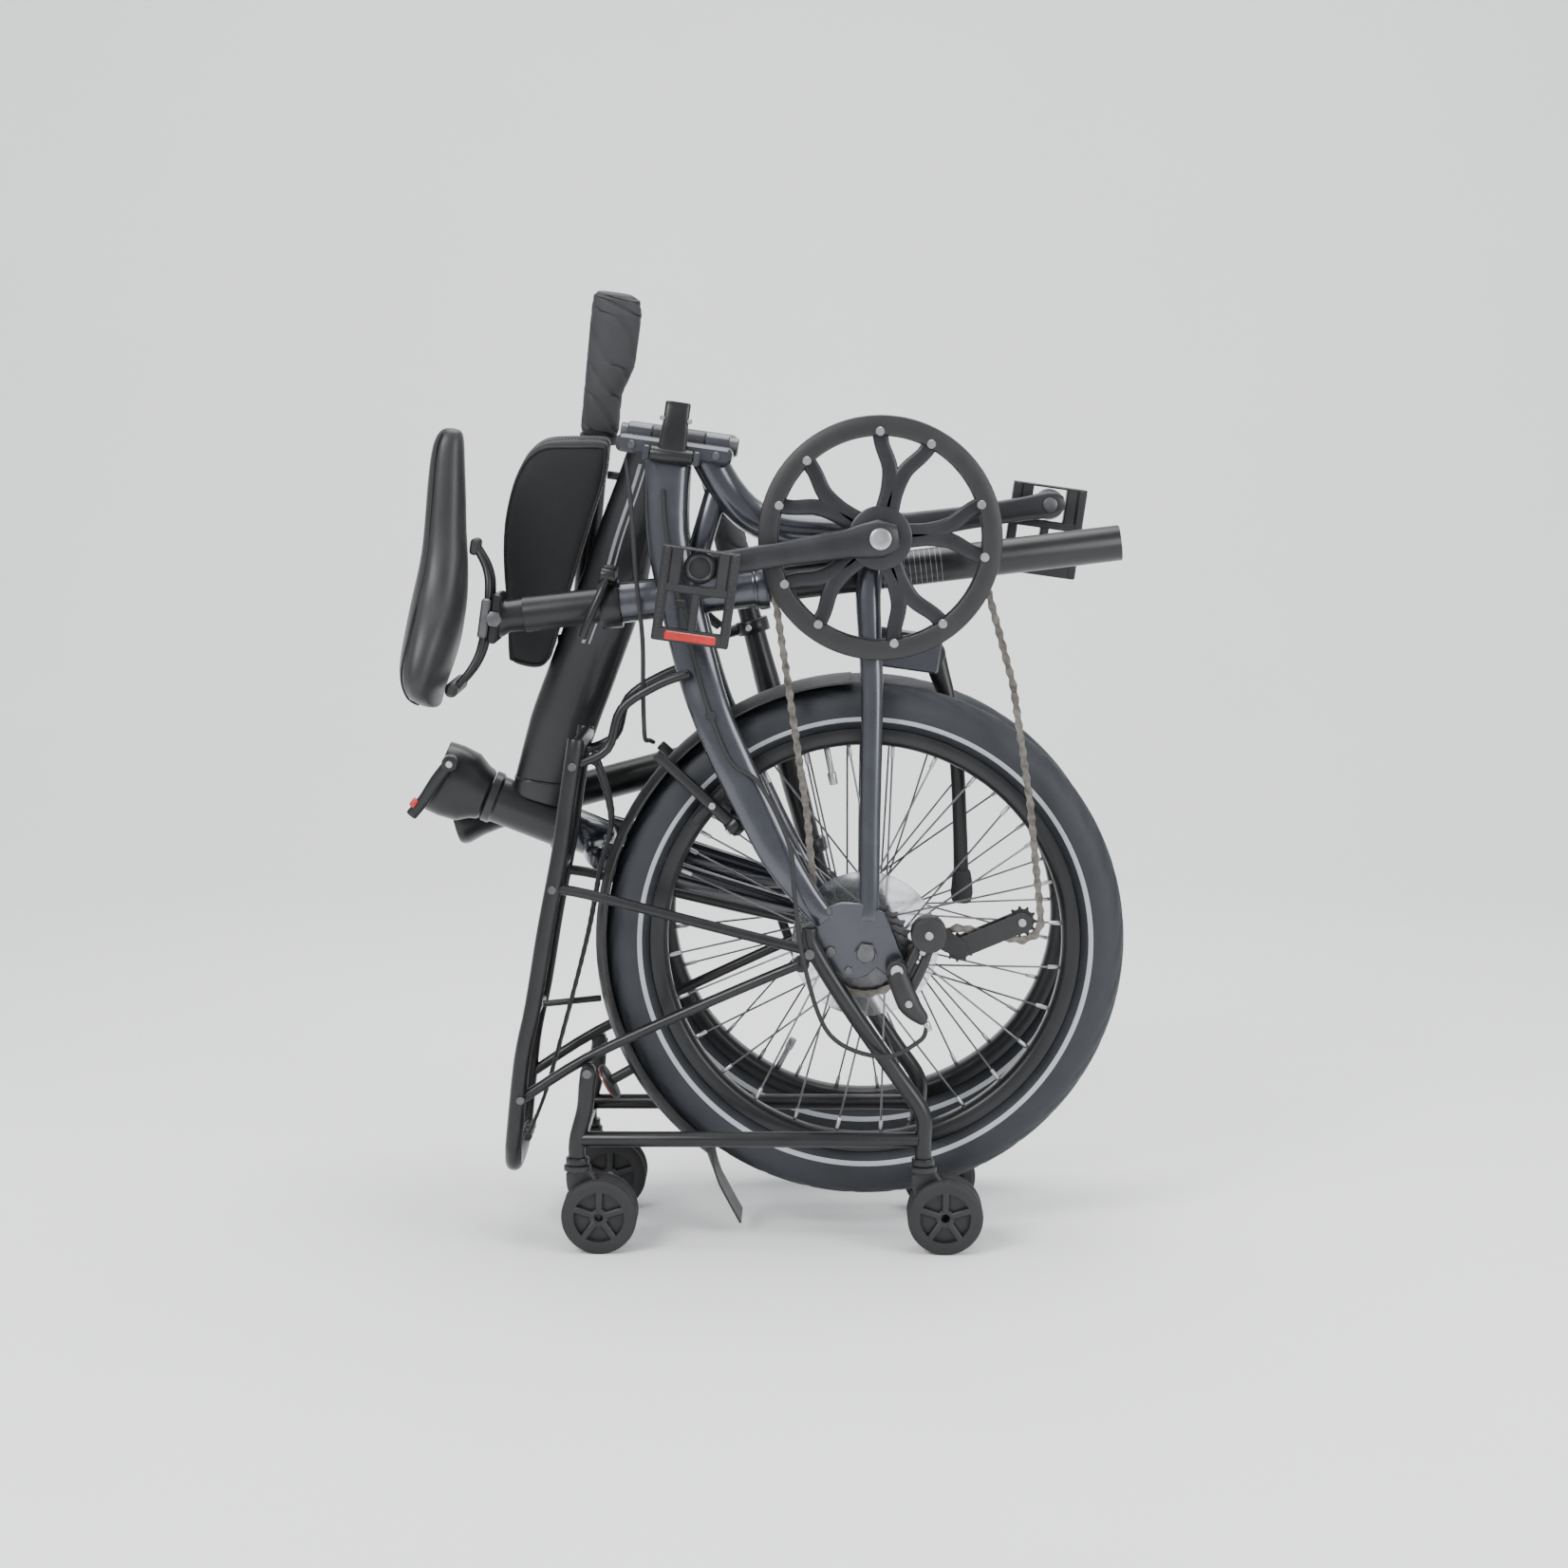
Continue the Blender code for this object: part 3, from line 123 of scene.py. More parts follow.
def surface(name, colour, roughness, metallic=0.0, vary=0.25, grain=900.0, bump=0.15, patches=25.0,
            coat=0.0,
            sheen=0.0, transmission=0.0, dust=0.0):
    """A Principled material with its colour, gloss and fine relief all varied by noise."""
    made = bpy.data.materials.new(name)
    made.use_nodes = True
    tree = made.node_tree
    link = tree.links.new
    shader = tree.nodes["Principled BSDF"]
    shader.inputs["Metallic"].default_value = metallic
    shader.inputs["Coat Weight"].default_value = coat
    shader.inputs["Coat Roughness"].default_value = 0.12
    shader.inputs["Sheen Weight"].default_value = sheen
    shader.inputs["Transmission Weight"].default_value = transmission
    place = tree.nodes.new("ShaderNodeTexCoord").outputs["Object"]
    broad = node(tree, "ShaderNodeTexNoise", Scale=patches, Detail=6.0, Roughness=0.6)
    fine = node(tree, "ShaderNodeTexNoise", Scale=grain, Detail=4.0, Roughness=0.55)
    link(place, broad.inputs["Vector"])
    link(place, fine.inputs["Vector"])
    ramp = tree.nodes.new("ShaderNodeValToRGB")
    ramp.color_ramp.elements[0].position = 0.3
    ramp.color_ramp.elements[1].position = 0.72
    ramp.color_ramp.elements[0].color = (*[c * (1 - vary) for c in colour], 1)
    ramp.color_ramp.elements[1].color = (*[min(1, c * (1 + vary) + dust) for c in colour], 1)
    link(broad.outputs["Fac"], ramp.inputs["Fac"])
    link(ramp.outputs["Color"], shader.inputs["Base Color"])
    gloss = node(tree, "ShaderNodeMapRange")
    gloss.inputs["To Min"].default_value = max(0.03, roughness - 0.08)
    gloss.inputs["To Max"].default_value = min(1.0, roughness + 0.12)
    link(broad.outputs["Fac"], gloss.inputs["Value"])
    link(gloss.outputs["Result"], shader.inputs["Roughness"])
    relief = node(tree, "ShaderNodeBump", Strength=bump, Distance=0.0004)
    link(fine.outputs["Fac"], relief.inputs["Height"])
    link(relief.outputs["Normal"], shader.inputs["Normal"])
    return made


def parts_of(material):
    tree = material.node_tree
    shader = tree.nodes["Principled BSDF"]
    relief = next(n for n in tree.nodes if n.bl_idname == "ShaderNodeBump")
    ramp = next(n for n in tree.nodes if n.bl_idname == "ShaderNodeValToRGB")
    place = next(n for n in tree.nodes if n.bl_idname == "ShaderNodeTexCoord").outputs["Object"]
    return tree, shader, relief, ramp, place


def leather():
    """A grained black cover: a cell pattern under the fine noise."""
    made = surface("saddle_cover", (0.008, 0.0083, 0.0095), 0.42, vary=0.3, sheen=0.08, bump=0.3,
                   dust=0.002)
    tree, _, relief, _, place = parts_of(made)
    cells = node(tree, "ShaderNodeTexVoronoi", Scale=620.0)
    cells.feature = "DISTANCE_TO_EDGE"
    tree.links.new(place, cells.inputs["Vector"])
    tree.links.new(cells.outputs["Distance"], relief.inputs["Height"])
    relief.inputs["Strength"].default_value = 0.35
    return made


def woven(name, colour, scale=1500.0):
    """A weave: two crossed bands of waves, in relief."""
    made = surface(name, colour, 0.8, vary=0.2, sheen=0.12)
    tree, _, relief, _, place = parts_of(made)
    bands = []
    for direction in ("X", "Z"):
        wave = node(tree, "ShaderNodeTexWave", Scale=scale / 6.28, Distortion=0.6)
        wave.bands_direction = direction
        tree.links.new(place, wave.inputs["Vector"])
        bands.append(wave)
    height = tree.nodes.new("ShaderNodeMath")
    height.operation = "MULTIPLY"
    tree.links.new(bands[0].outputs["Fac"], height.inputs[0])
    tree.links.new(bands[1].outputs["Fac"], height.inputs[1])
    tree.links.new(height.outputs[0], relief.inputs["Height"])
    relief.inputs["Strength"].default_value = 0.5
    return made


def tyre_rubber():
    """Tyre rubber with a pale reflective line round each side wall."""
    made = surface("tyre_rubber", (0.012, 0.0145, 0.019), 0.62, vary=0.25, bump=0.3, dust=0.003)
    tree, shader, _, ramp, place = parts_of(made)
    link = tree.links.new
    split = tree.nodes.new("ShaderNodeSeparateXYZ")
    link(place, split.inputs[0])
    flat = tree.nodes.new("ShaderNodeCombineXYZ")
    link(split.outputs["X"], flat.inputs["X"])
    link(split.outputs["Z"], flat.inputs["Z"])
    length = tree.nodes.new("ShaderNodeVectorMath")
    length.operation = "LENGTH"
    link(flat.outputs[0], length.inputs[0])
    offset = tree.nodes.new("ShaderNodeMath")
    offset.operation = "COMPARE"
    offset.inputs[1].default_value = 0.2165
    offset.inputs[2].default_value = 0.0022
    link(length.outputs["Value"], offset.inputs[0])
    blend = tree.nodes.new("ShaderNodeMix")
    blend.data_type = "RGBA"
    link(offset.outputs[0], blend.inputs["Factor"])
    link(ramp.outputs["Color"], blend.inputs[6])
    blend.inputs[7].default_value = (0.36, 0.38, 0.40, 1)
    link(blend.outputs[2], shader.inputs["Base Color"])
    return made


LOOK = {
    "gunmetal": surface("frame_paint", (0.048, 0.051, 0.062), 0.27, 0.7, vary=0.16, grain=2600.0,
                        bump=0.08, coat=0.7),
    "charcoal": surface("front_tube_paint", (0.014, 0.0145, 0.017), 0.4, 0.3, vary=0.2,
                        grain=2400.0, coat=0.2),
    "navy": surface("fork_paint", (0.006, 0.0085, 0.014), 0.16, 0.2, vary=0.25, coat=0.8),
    "stripe": surface("stripe_paint", (0.30, 0.31, 0.33), 0.4, 0.2, vary=0.1),
    "satin": surface("satin_black", (0.006, 0.006, 0.007), 0.32, 0.15, vary=0.35, grain=1800.0,
                     bump=0.15, dust=0.002),
    "steel": surface("bare_steel", (0.42, 0.42, 0.43), 0.3, 1.0, vary=0.15, patches=60.0),
    "dark_steel": surface("dark_steel", (0.12, 0.12, 0.125), 0.34, 0.9, vary=0.3, patches=60.0),
    "chain": surface("oiled_chain", (0.16, 0.148, 0.132), 0.34, 0.9, vary=0.5, patches=140.0,
                     bump=0.4),
    "plastic": surface("black_plastic", (0.008, 0.008, 0.009), 0.46, vary=0.3, grain=2200.0,
                       bump=0.3, dust=0.002),
    "rubber": surface("black_rubber", (0.011, 0.011, 0.012), 0.7, vary=0.25, bump=0.4, dust=0.003),
    "grip": surface("grip_rubber", (0.024, 0.0245, 0.027), 0.66, vary=0.2, bump=0.45, dust=0.003),
    "crank": surface("crank_grey", (0.030, 0.030, 0.033), 0.36, 0.6, vary=0.2, grain=1500.0,
                     bump=0.15),
    "clear": surface("clear_plastic", (0.80, 0.82, 0.84), 0.10, vary=0.05, bump=0.02,
                     transmission=0.95),
    "lens": surface("reflector_lens", (0.42, 0.012, 0.010), 0.18, vary=0.3, coat=0.6, grain=300.0,
                    bump=0.8),
    "red": surface("red_button", (0.45, 0.02, 0.02), 0.4, vary=0.15),
    "tyre": tyre_rubber(),
    "leather": leather(),
    "bag": woven("bag_cloth", (0.007, 0.0073, 0.0085)),
    "webbing": woven("strap_webbing", (0.009, 0.009, 0.010), 2600.0),
}


# ---------------------------------------------------------------- mesh tools
class Shape:
    """One piece in the making: several closed shells in one mesh, in millimetres."""

    def __init__(self):
        self.bm = bmesh.new()

    def skin(self, rings, closed=False, caps=True):
        rows = [[self.bm.verts.new(p) for p in ring] for ring in rings]
        count = len(rows[0])
        pairs = list(zip(rows, rows[1:]))
        if closed:
            pairs.append((rows[-1], rows[0]))
        for low, high in pairs:
            for i in range(count):
                j = (i + 1) % count
                self.bm.faces.new((low[i], low[j], high[j], high[i]))
        if caps and not closed:
            self.bm.faces.new(rows[0])
            self.bm.faces.new(rows[-1])
        return self

    def tube(self, points, radii, sides=20, across=Y, power=1.0, ease=1.5):
        """A tube along points with softened end edges; a radius may be a pair in and out of plane."""
        path = [Vector(p) for p in points]
        if not isinstance(radii, list):
            radii = [radii] * len(path)
        radii = [r if isinstance(r, tuple) else (r, r) for r in radii]
        rings = []
        last = len(path) - 1
        for i, p in enumerate(path):
            along = (path[min(i + 1, last)] - path[max(i - 1, 0)]).normalized()
            out = (across - along * across.dot(along)).normalized()
            side = out.cross(along)

            def ring(at, less):
                return [at + side * a + out * b
                        for a, b in section(max(radii[i][0] - less, 0.1),
                                            max(radii[i][1] - less, 0.1), sides, power)]
            if i == 0 and ease:
                rings += [ring(p, ease), ring(p + along * ease * 0.3, ease * 0.3),
                          ring(p + along * ease, 0)]
            elif i == last and ease:
                rings += [ring(p - along * ease, 0), ring(p - along * ease * 0.3, ease * 0.3),
                          ring(p, ease)]
            else:
                rings.append(ring(p, 0))
        return self.skin(rings)

    def turned(self, profile, centre, axis=Y, segments=64):
        """A closed ring turned round an axis from (radius, along) points."""
        axis, side, up = basis(axis)
        rings = []
        for i in range(segments):
            angle = 2 * pi * i / segments
            out = side * cos(angle) + up * sin(angle)
            rings.append([Vector(centre) + out * r + axis * a for r, a in profile])
        return self.skin(rings, closed=True)

    def spindle(self, profile, centre, axis=Y, segments=28):
        """A solid turned from (radius, along) points."""
        axis, side, up = basis(axis)
        rings = []
        for r, a in profile:
            rings.append([Vector(centre) + axis * a + side * (r * cos(2 * pi * i / segments))
                          + up * (r * sin(2 * pi * i / segments)) for i in range(segments)])
        return self.skin(rings)

    def rod(self, start, end, radius, sides=20, ease=0.8):
        start, end = Vector(start), Vector(end)
        along = end - start
        length = along.length
        ease = min(ease, radius * 0.4, length * 0.3)
        profile = [(radius - ease, 0), (radius - ease * 0.3, ease * 0.3), (radius, ease),
                   (radius, length - ease),
                   (radius - ease * 0.3, length - ease * 0.3), (radius - ease, length)]
        return self.spindle(profile, start, along, sides)

    def plate(self, outline, low, high, ease=0.8):
        """A plate in the f, h plane with softened edges."""
        inner = shrunk(outline, ease)
        rings = [[Vector((f, low, h)) for f, h in inner],
                 [Vector((f, low + ease, h)) for f, h in outline],
                 [Vector((f, high - ease, h)) for f, h in outline],
                 [Vector((f, high, h)) for f, h in inner]]
        return self.skin(rings)

    def block(self, low, high, ease=1.5):
        (f0, y0, h0), (f1, y1, h1) = low, high
        ring = rounded_box(f0, f1, h0, h1, ease * 2)
        return self.plate(ring, y0, y1, min(ease, (y1 - y0) * 0.3))

    def make(self, name, look, place, body, *stands_for, smooth=40, slot=None, soften=False):
        bmesh.ops.recalc_face_normals(self.bm, faces=self.bm.faces)
        self.bm.transform(Matrix.Scale(MM, 4))
        mesh = bpy.data.meshes.new(name)
        self.bm.to_mesh(mesh)
        self.bm.free()
        mesh.materials.append(LOOK[look])
        mesh.shade_smooth()
        if not soften:
            mesh.set_sharp_from_angle(angle=radians(smooth))
        made = bpy.data.objects.new(name, mesh)
        bpy.context.scene.collection.objects.link(made)
        made.matrix_world = place
        if soften:
            levels = made.modifiers.new("soft", "SUBSURF")
            levels.levels = 2
            levels.render_levels = 2
        bpy.context.view_layer.update()
        if stands_for:
            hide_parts(*stands_for)
        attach(made, body)
        return made


def section(half_a, half_b, sides, power=1.0):
    points = []
    for i in range(sides):
        angle = 2 * pi * (i + 0.5) / sides
        a, b = cos(angle), sin(angle)
        points.append((half_a * abs(a) ** power * (1 if a > 0 else -1),
                       half_b * abs(b) ** power * (1 if b > 0 else -1)))
    return points


def basis(axis):
    axis = Vector(axis).normalized()
    side = axis.cross(Vector((1, 0, 0)) if abs(axis.x) < 0.9 else H).normalized()
    return axis, side, axis.cross(side)


def shrunk(outline, by):
    """An outline moved in by a small distance, for a softened edge."""
    count = len(outline)
    area = sum(outline[i][0] * outline[(i + 1) % count][1] - outline[(i + 1) % count][0] * outline[i][1]
               for i in range(count))
    turn = 1 if area > 0 else -1
    result = []
    for i in range(count):
        before, here, after = (Vector(outline[(i + k) % count]) for k in (-1, 0, 1))
        one = (here - before).normalized()
        two = (after - here).normalized()
        inward = Vector((-(one.y + two.y), one.x + two.x)) * turn
        inward = inward.normalized() if inward.length > 1e-6 else Vector((0, 0))
        result.append(tuple(here + inward * by))
    return result


def rounded_box(f0, f1, h0, h1, radius, steps=4):
    radius = min(radius, (f1 - f0) * 0.45, (h1 - h0) * 0.45)
    corners = ((f1 - radius, h0 + radius, -90), (f1 - radius, h1 - radius, 0),
               (f0 + radius, h1 - radius, 90),
               (f0 + radius, h0 + radius, 180))
    outline = []
    for f, h, start in corners:
        for k in range(steps + 1):
            angle = radians(start + 90 * k / steps)
            outline.append((f + radius * cos(angle), h + radius * sin(angle)))
    return outline


def stadium(a, b, radius_a, radius_b=None, steps=8):
    """The outline round two discs and the straight sides between them."""
    radius_b = radius_a if radius_b is None else radius_b
    heading = atan2(b[1] - a[1], b[0] - a[0])
    outline = []
    for (f, h), radius, turn in ((b, radius_b, -pi / 2), (a, radius_a, pi / 2)):
        for k in range(steps + 1):
            angle = heading + turn + pi * k / steps
            outline.append((f + radius * cos(angle), h + radius * sin(angle)))
    return outline


def smooth_path(points, steps=6):
    given = [Vector(p) for p in points]
    path = []
    for i in range(len(given) - 1):
        before, here = given[max(i - 1, 0)], given[i]
        after, beyond = given[i + 1], given[min(i + 2, len(given) - 1)]
        for k in range(steps):
            t = k / steps
            path.append(0.5 * (2 * here + (after - before) * t
                               + (2 * before - 5 * here + 4 * after - beyond) * t * t
                               + (3 * here - before - 3 * after + beyond) * t ** 3))
    path.append(given[-1])
    return path


def spread(values, count):
    """Values, numbers or pairs, spread evenly over count places."""
    result = []
    for k in range(count):
        place = k * (len(values) - 1) / (count - 1)
        i = min(int(place), len(values) - 2)
        t = place - i
        low, high = values[i], values[i + 1]
        result.append(tuple(a + (b - a) * t for a, b in zip(low, high)) if isinstance(low, tuple)
                      else low + (high - low) * t)
    return result


def arc(centre, radius, start, stop, count, y):
    points = []
    for k in range(count):
        angle = radians(start + (stop - start) * k / (count - 1))
        points.append(Vector((centre[0] + radius * cos(angle), y, centre[1] + radius * sin(angle))))
    return points


def bolt(shape, at, axis, radius=4.0, height=3.0):
    """A socket-head bolt with its hexagonal recess."""
    axis = Vector(axis).normalized()
    at = Vector(at)
    shape.spindle([(radius, 0), (radius, height - 0.6), (radius - 0.6, height),
                   (radius * 0.58, height)], at, axis, 20)
    shape.spindle([(radius * 0.55, 0), (radius * 0.55, -height * 0.6)], at + axis * (height - 0.05),
                  axis, 6)


# ---------------------------------------------------------------- rear frame
def rear_frame():
    stays = [(434, 15, 250), (363, 19, 241), (300, 25, 219), (243, 33, 196), (201, 44, 175.5),
             (161, 50, 151),
             (121, 55, 124), (80, 60, 95.5), (45, 64, 64), (24, 67, 42)]
    stay_sizes = [(22, 13), (20, 12), (20, 11), (20, 10), (19, 9.5), (19, 9.5), (18, 9), (17, 8.5),
                  (13, 7), (10, 4)]
    chain_stay = [(388, 22, 42), (345, 31, 46), (290, 37, 37), (240, 42, 28), (120, 55, 13),
                  (60, 63, 5), (30, 67, 2)]
    chain_sizes = [(13, 8), (12, 8), (11, 8), (10.5, 7.5), (10, 7), (9.5, 6), (9, 4)]
    drop = [(34, 50), (44, 30), (46, 12), (40, -12), (18, -26), (-2, -36), (-14, -37), (-20, -32),
            (-18, -22),
            (-13, -12), (-22, -4), (-26, 4), (-26, 18), (-20, 30), (-12, 40), (-4, 47), (6, 50)]
    body = Shape()
    for side in (-1, 1):
        path = smooth_path([(f, side * y, h) for f, y, h in stays], 4)
        body.tube(path, spread(stay_sizes, len(path)), 28, Y, 0.85)
        path = smooth_path([(f, side * y, h) for f, y, h in chain_stay], 4)
        body.tube(path, spread(chain_sizes, len(path)), 24)
        low, high = sorted((side * 64.5, side * 69.5))
        body.plate(drop, low, high, 1.0)
        pivot = Vector((98, side * 38, 140))
        axis = Vector((-0.819, 0, 0.573))
        body.tube([pivot - axis * 7, pivot - axis * 20, (118, side * 51, 122)], 6, 16)
    down = smooth_path([(438, 0, 213), (411, 0, 192), (391, 0, 168), (382, 0, 140), (382, 0, 105),
                        (388, 0, 45)], 6)
    body.tube(down, 16.5, 32)
    body.rod((BB[0], -34, BB[1]), (BB[0], 34, BB[1]), 20.5, 40, 1.5)
    body.turned([(17.4, 0), (19.5, 0), (19.5, 137), (17.4, 137)], seat_point(105), SEAT_UP, 40)
    body.turned([(17.4, 0), (22.5, 0.8), (22.9, 3), (22.9, 9), (22.5, 11.2), (17.4, 12)],
                seat_point(100), SEAT_UP, 40)
    body.tube([seat_point(180), (411, 0, 200)], (11, 8), 20)
    body.rod((272, -38, 35), (272, 38, 35), 7)
    body.block((262, 26, -34), (300, 34, 38), 2)
    body.block((433, -30, 190), (449.7, 30, 300), 3)
    for low, high in ((196.0, 219.0), (271.0, 294.0)):
        body.block((433.5, 20, low), (443, 44, high), 1.5)
        body.turned([(6.2, low), (10.2, low), (11, low + 0.8), (11, high - 0.8), (10.2, high),
                     (6.2, high)],
                    (*HINGE, 0), H, 32)
    for low, high in ((219, 225.6), (266.4, 273)):
        body.block((429, -46, low), (443, -26, high), 1.2)
    body.make("frame_rear", "gunmetal", BIKE, "frame", "rear_frame", slot="gunmetal")
    trim = Shape()
    for h in (205, 246, 285):
        bolt(trim, (441, -30, h) if h != 246 else (441, 30, h), (0, -1 if h != 246 else 1, 0), 4,
             2.5)
    for side in (-1, 1):
        low, high = sorted((side * 30, side * 36))
        trim.turned([(13, low), (18.5, low), (18.5, high), (13, high)], (BB[0], 0, BB[1]), Y, 24)
        bolt(trim, (-3.7, side * 69.5, 33), (0, side, 0), 5, 4)
        bolt(trim, (-19.4, side * 69.5, 13.5), (0, side, 0), 4, 3)
        bolt(trim, (34, side * 69.5, 40), (0, side, 0), 3.4, 2)
    trim.make("frame_bolts", "dark_steel", BIKE, "frame", slot="steel")
    weld = Shape()
    weld.turned([(18.8, -2), (21.2, -1.5), (21.6, 0), (21.2, 1.5), (18.8, 2)], seat_point(113),
                SEAT_UP, 40)
    weld.make("seat_tube_weld", "gunmetal", BIKE, "frame", slot="gunmetal")


def hinge_parts():
    pin = Shape().spindle([(8, 187), (9, 188), (9, 195.7), (6, 195.7), (6, 294.3), (9, 294.3),
                           (9, 300), (8, 301)],
                          (*HINGE, 0), H, 32)
    pin.make("hinge_pin", "dark_steel", BIKE, "frame", "frame_hinge_pin", slot="steel")
    path = smooth_path([(436, -39, 246), (452, -40, 246), (468, -40, 246), (486, -37, 246)], 6)
    lever = Shape().tube(path, spread([(5, 14), (4, 13), (4, 12), (5, 12)], len(path)), 24, H, 0.6)
    lever.rod((436, -39, 226), (436, -39, 266), 7, 28)
    lever.make("frame_latch_lever", "satin", BIKE, "hinge_lever", "frame_latch", slot="black_satin")
    rivet = Shape()
    for h in (233, 259):
        bolt(rivet, (470, -43.6, h), (0, -1, 0), 2.6, 1.0)
    rivet.make("frame_latch_rivets", "steel", BIKE, "hinge_lever", slot="steel")


def seat_parts():
    clamp = Shape().turned([(17.3, 0), (22.8, 0), (23.5, 1), (23.5, 18.6), (22.8, 19.6),
                            (17.3, 19.6)],
                           seat_point(242.4), SEAT_UP, 48)
    tail = seat_point(252)
    clamp.block((tail.x + 12, -11, tail.z - 2), (tail.x + 36, -1.2, tail.z + 12), 1.2)
    clamp.block((tail.x + 12, 1.2, tail.z - 2), (tail.x + 36, 11, tail.z + 12), 1.2)
    clamp.make("seat_collar", "satin", BIKE, "frame", "seat_clamp", slot="black_satin")
    pivot = Vector((tail.x + 28, -19, tail.z + 5))
    path = smooth_path([pivot, pivot + Vector((-16, -10, 4)), pivot + Vector((-44, -13, 12)),
                        pivot + Vector((-62, -10, 16))], 6)
    lever = Shape().tube(path, (4, 3.5), 20)
    lever.rod(pivot - H * 7, pivot + H * 7, 6.5, 28)
    lever.make("seat_collar_lever", "satin", BIKE, "seat_lever", "seat_clamp_lever",
               slot="black_satin")
    low = seat_point(-236)
    post = Shape().turned([(14.9, 0), (16.4, 0), (17, 0.8), (17, 571), (14.9, 571)], low, SEAT_UP,
                          48)
    top = seat_point(336)
    post.tube([top - SEAT_UP * 5, top + SEAT_UP * 14, top + SEAT_UP * 22, top + SEAT_UP * 30],
              [(16, 16), (15, 16), (19, 18), (17, 18)], 32)
    post.block((top.x - 30, -26, top.z + 20), (top.x + 18, 26, top.z + 30), 2)
    post.make("seat_post", "satin", BIKE, "seat", "seatpost", slot="black_satin")
    marks = Shape()
    for k in range(12):
        up = 10 + 5 * k
        marks.turned([(16.9, 0), (17.03, 0), (17.03, 0.5), (16.9, 0.5)], seat_point(-up), SEAT_UP,
                     40)
    marks.make("seat_post_marks", "stripe", BIKE, "seat", slot="steel")
    hardware = Shape()
    for side in (-1, 1):
        hardware.rod((top.x - 6, side * 26, top.z + 25), (top.x - 6, side * 31, top.z + 25), 8, 6)
        hardware.block((top.x - 26, side * 22 - 6, top.z + 30),
                       (top.x + 12, side * 22 + 6, top.z + 39), 1.5)
    hardware.make("saddle_clamp_bolts", "dark_steel", BIKE, "seat", slot="steel")


def saddle_rails():
    top = seat_point(336)
    base = top.z + 34
    rails = Shape()
    for side in (-1, 1):
        path = smooth_path([(top.x + 62, side * 7, base + 22), (top.x + 40, side * 14, base + 6),
                            (top.x + 15, side * 20, base), (top.x - 30, side * 22, base),
                            (top.x - 55, side * 26, base + 6), (top.x - 78, side * 34, base + 20)],
                            8)
        rails.tube(path, 3.5, 18)
    rails.make("saddle_rail_pair", "satin", BIKE, "seat", "saddle_rails", slot="steel")
    seats = Shape()
    seats.block((top.x + 50, -14, base + 15), (top.x + 66, 14, base + 24), 2)
    seats.block((top.x - 84, -46, base + 15), (top.x - 70, 46, base + 27), 3)
    seats.make("saddle_rail_seats", "plastic", BIKE, "seat", slot="steel")


def saddle():
    """The saddle: a crowned cover drawn over its shell, with side panels and piped seams."""
    top = seat_point(336)
    base = top.z + 34
    stations = ((-99, 20, 6, 17), (-96, 44, 10, 21), (-90, 64, 15, 26), (-78, 74, 20, 29),
                (-62, 76, 24, 29),
                (-35, 70, 26, 26), (-12, 57, 26, 25), (5, 44, 26, 24), (28, 34, 24, 24),
                (50, 28, 22, 25),
                (75, 25, 20, 28), (100, 23, 19, 30), (130, 20, 17, 33), (150, 18, 15, 34),
                (161, 14, 12, 33),
                (166, 9, 7, 32))
    rings = []
    for along, half, thick, middle in stations:
        ring = []
        for a, b in section(half, thick, 24, 0.82):
            side = abs(a) / half
            channel = 3.2 * max(0.0, 1 - abs(a) / 8.0) if b > 0 and -80 < along < 90 else 0.0
            tuck = 2.2 * max(0.0, 1 - abs(side - 0.86) / 0.1) if b > 0 else 0.0
            ring.append(Vector((top.x + along, a, base + 23 + middle + b - channel - tuck)))
        rings.append(ring)
    cover = Shape().skin(rings).make("saddle_cover", "leather", BIKE, "seat", "saddle", soften=True,
                                     slot="leather")
    for side in (-1, 1):
        seam = []
        for along, half, thick, middle in stations[1:-1]:
            ring = section(half, thick, 24, 0.82)
            a, b = min(ring, key=lambda p: abs(p[0] / half - 0.80 * side) if p[1] > 0 else 9)
            seam.append(Vector((top.x + along, a * 1.0, base + 23 + middle + b - 0.6)))
        path = smooth_path(seam, 4)
        Shape().tube(path, 1.1, 10, H).make(f"saddle_seam_{'right' if side < 0 else 'left'}",
                                            "rubber", BIKE, "seat",
                                            slot="leather")


# ---------------------------------------------------------------- wheels
def tyre(name, place, body, replaced):
    """A tyre with shallow diagonal tread blocks and a line of shoulder knobs."""
    segments, around = 288, 34
    rings = []
    for i in range(segments):
        angle = 2 * pi * i / segments
        ring = []
        for k in range(around):
            turn = radians(-128 + 256 * k / (around - 1))
            radius = 23.4
            lean = abs(turn)
            if lean < radians(13):
                radius -= 0.9 if (i + round(k * 0.8)) % 8 < 1 else 0.0
            elif lean < radians(17):
                radius -= 1.1
            elif lean < radians(52):
                radius -= 1.3 if (i + (k if turn > 0 else -k) * 2) % 8 < 2 else 0.1
            elif lean < radians(58):
                radius -= 1.2
            r = 226.4 + radius * cos(turn)
            y = (24.0 / 23.4) * radius * sin(turn)
            if k in (0, around - 1):
                r, y = 207.6, 13.2 * (1 if turn > 0 else -1)
            ring.append((r, y))
        ring += [(207.6, 9.0), (226, 9.0), (226, -9.0), (207.6, -9.0)]
        rings.append([Vector((r * cos(angle), y, r * sin(angle))) for r, y in ring])
    Shape().skin(rings, closed=True).make(name, "tyre", place, body, replaced, slot="tyre",
                                          smooth=50)


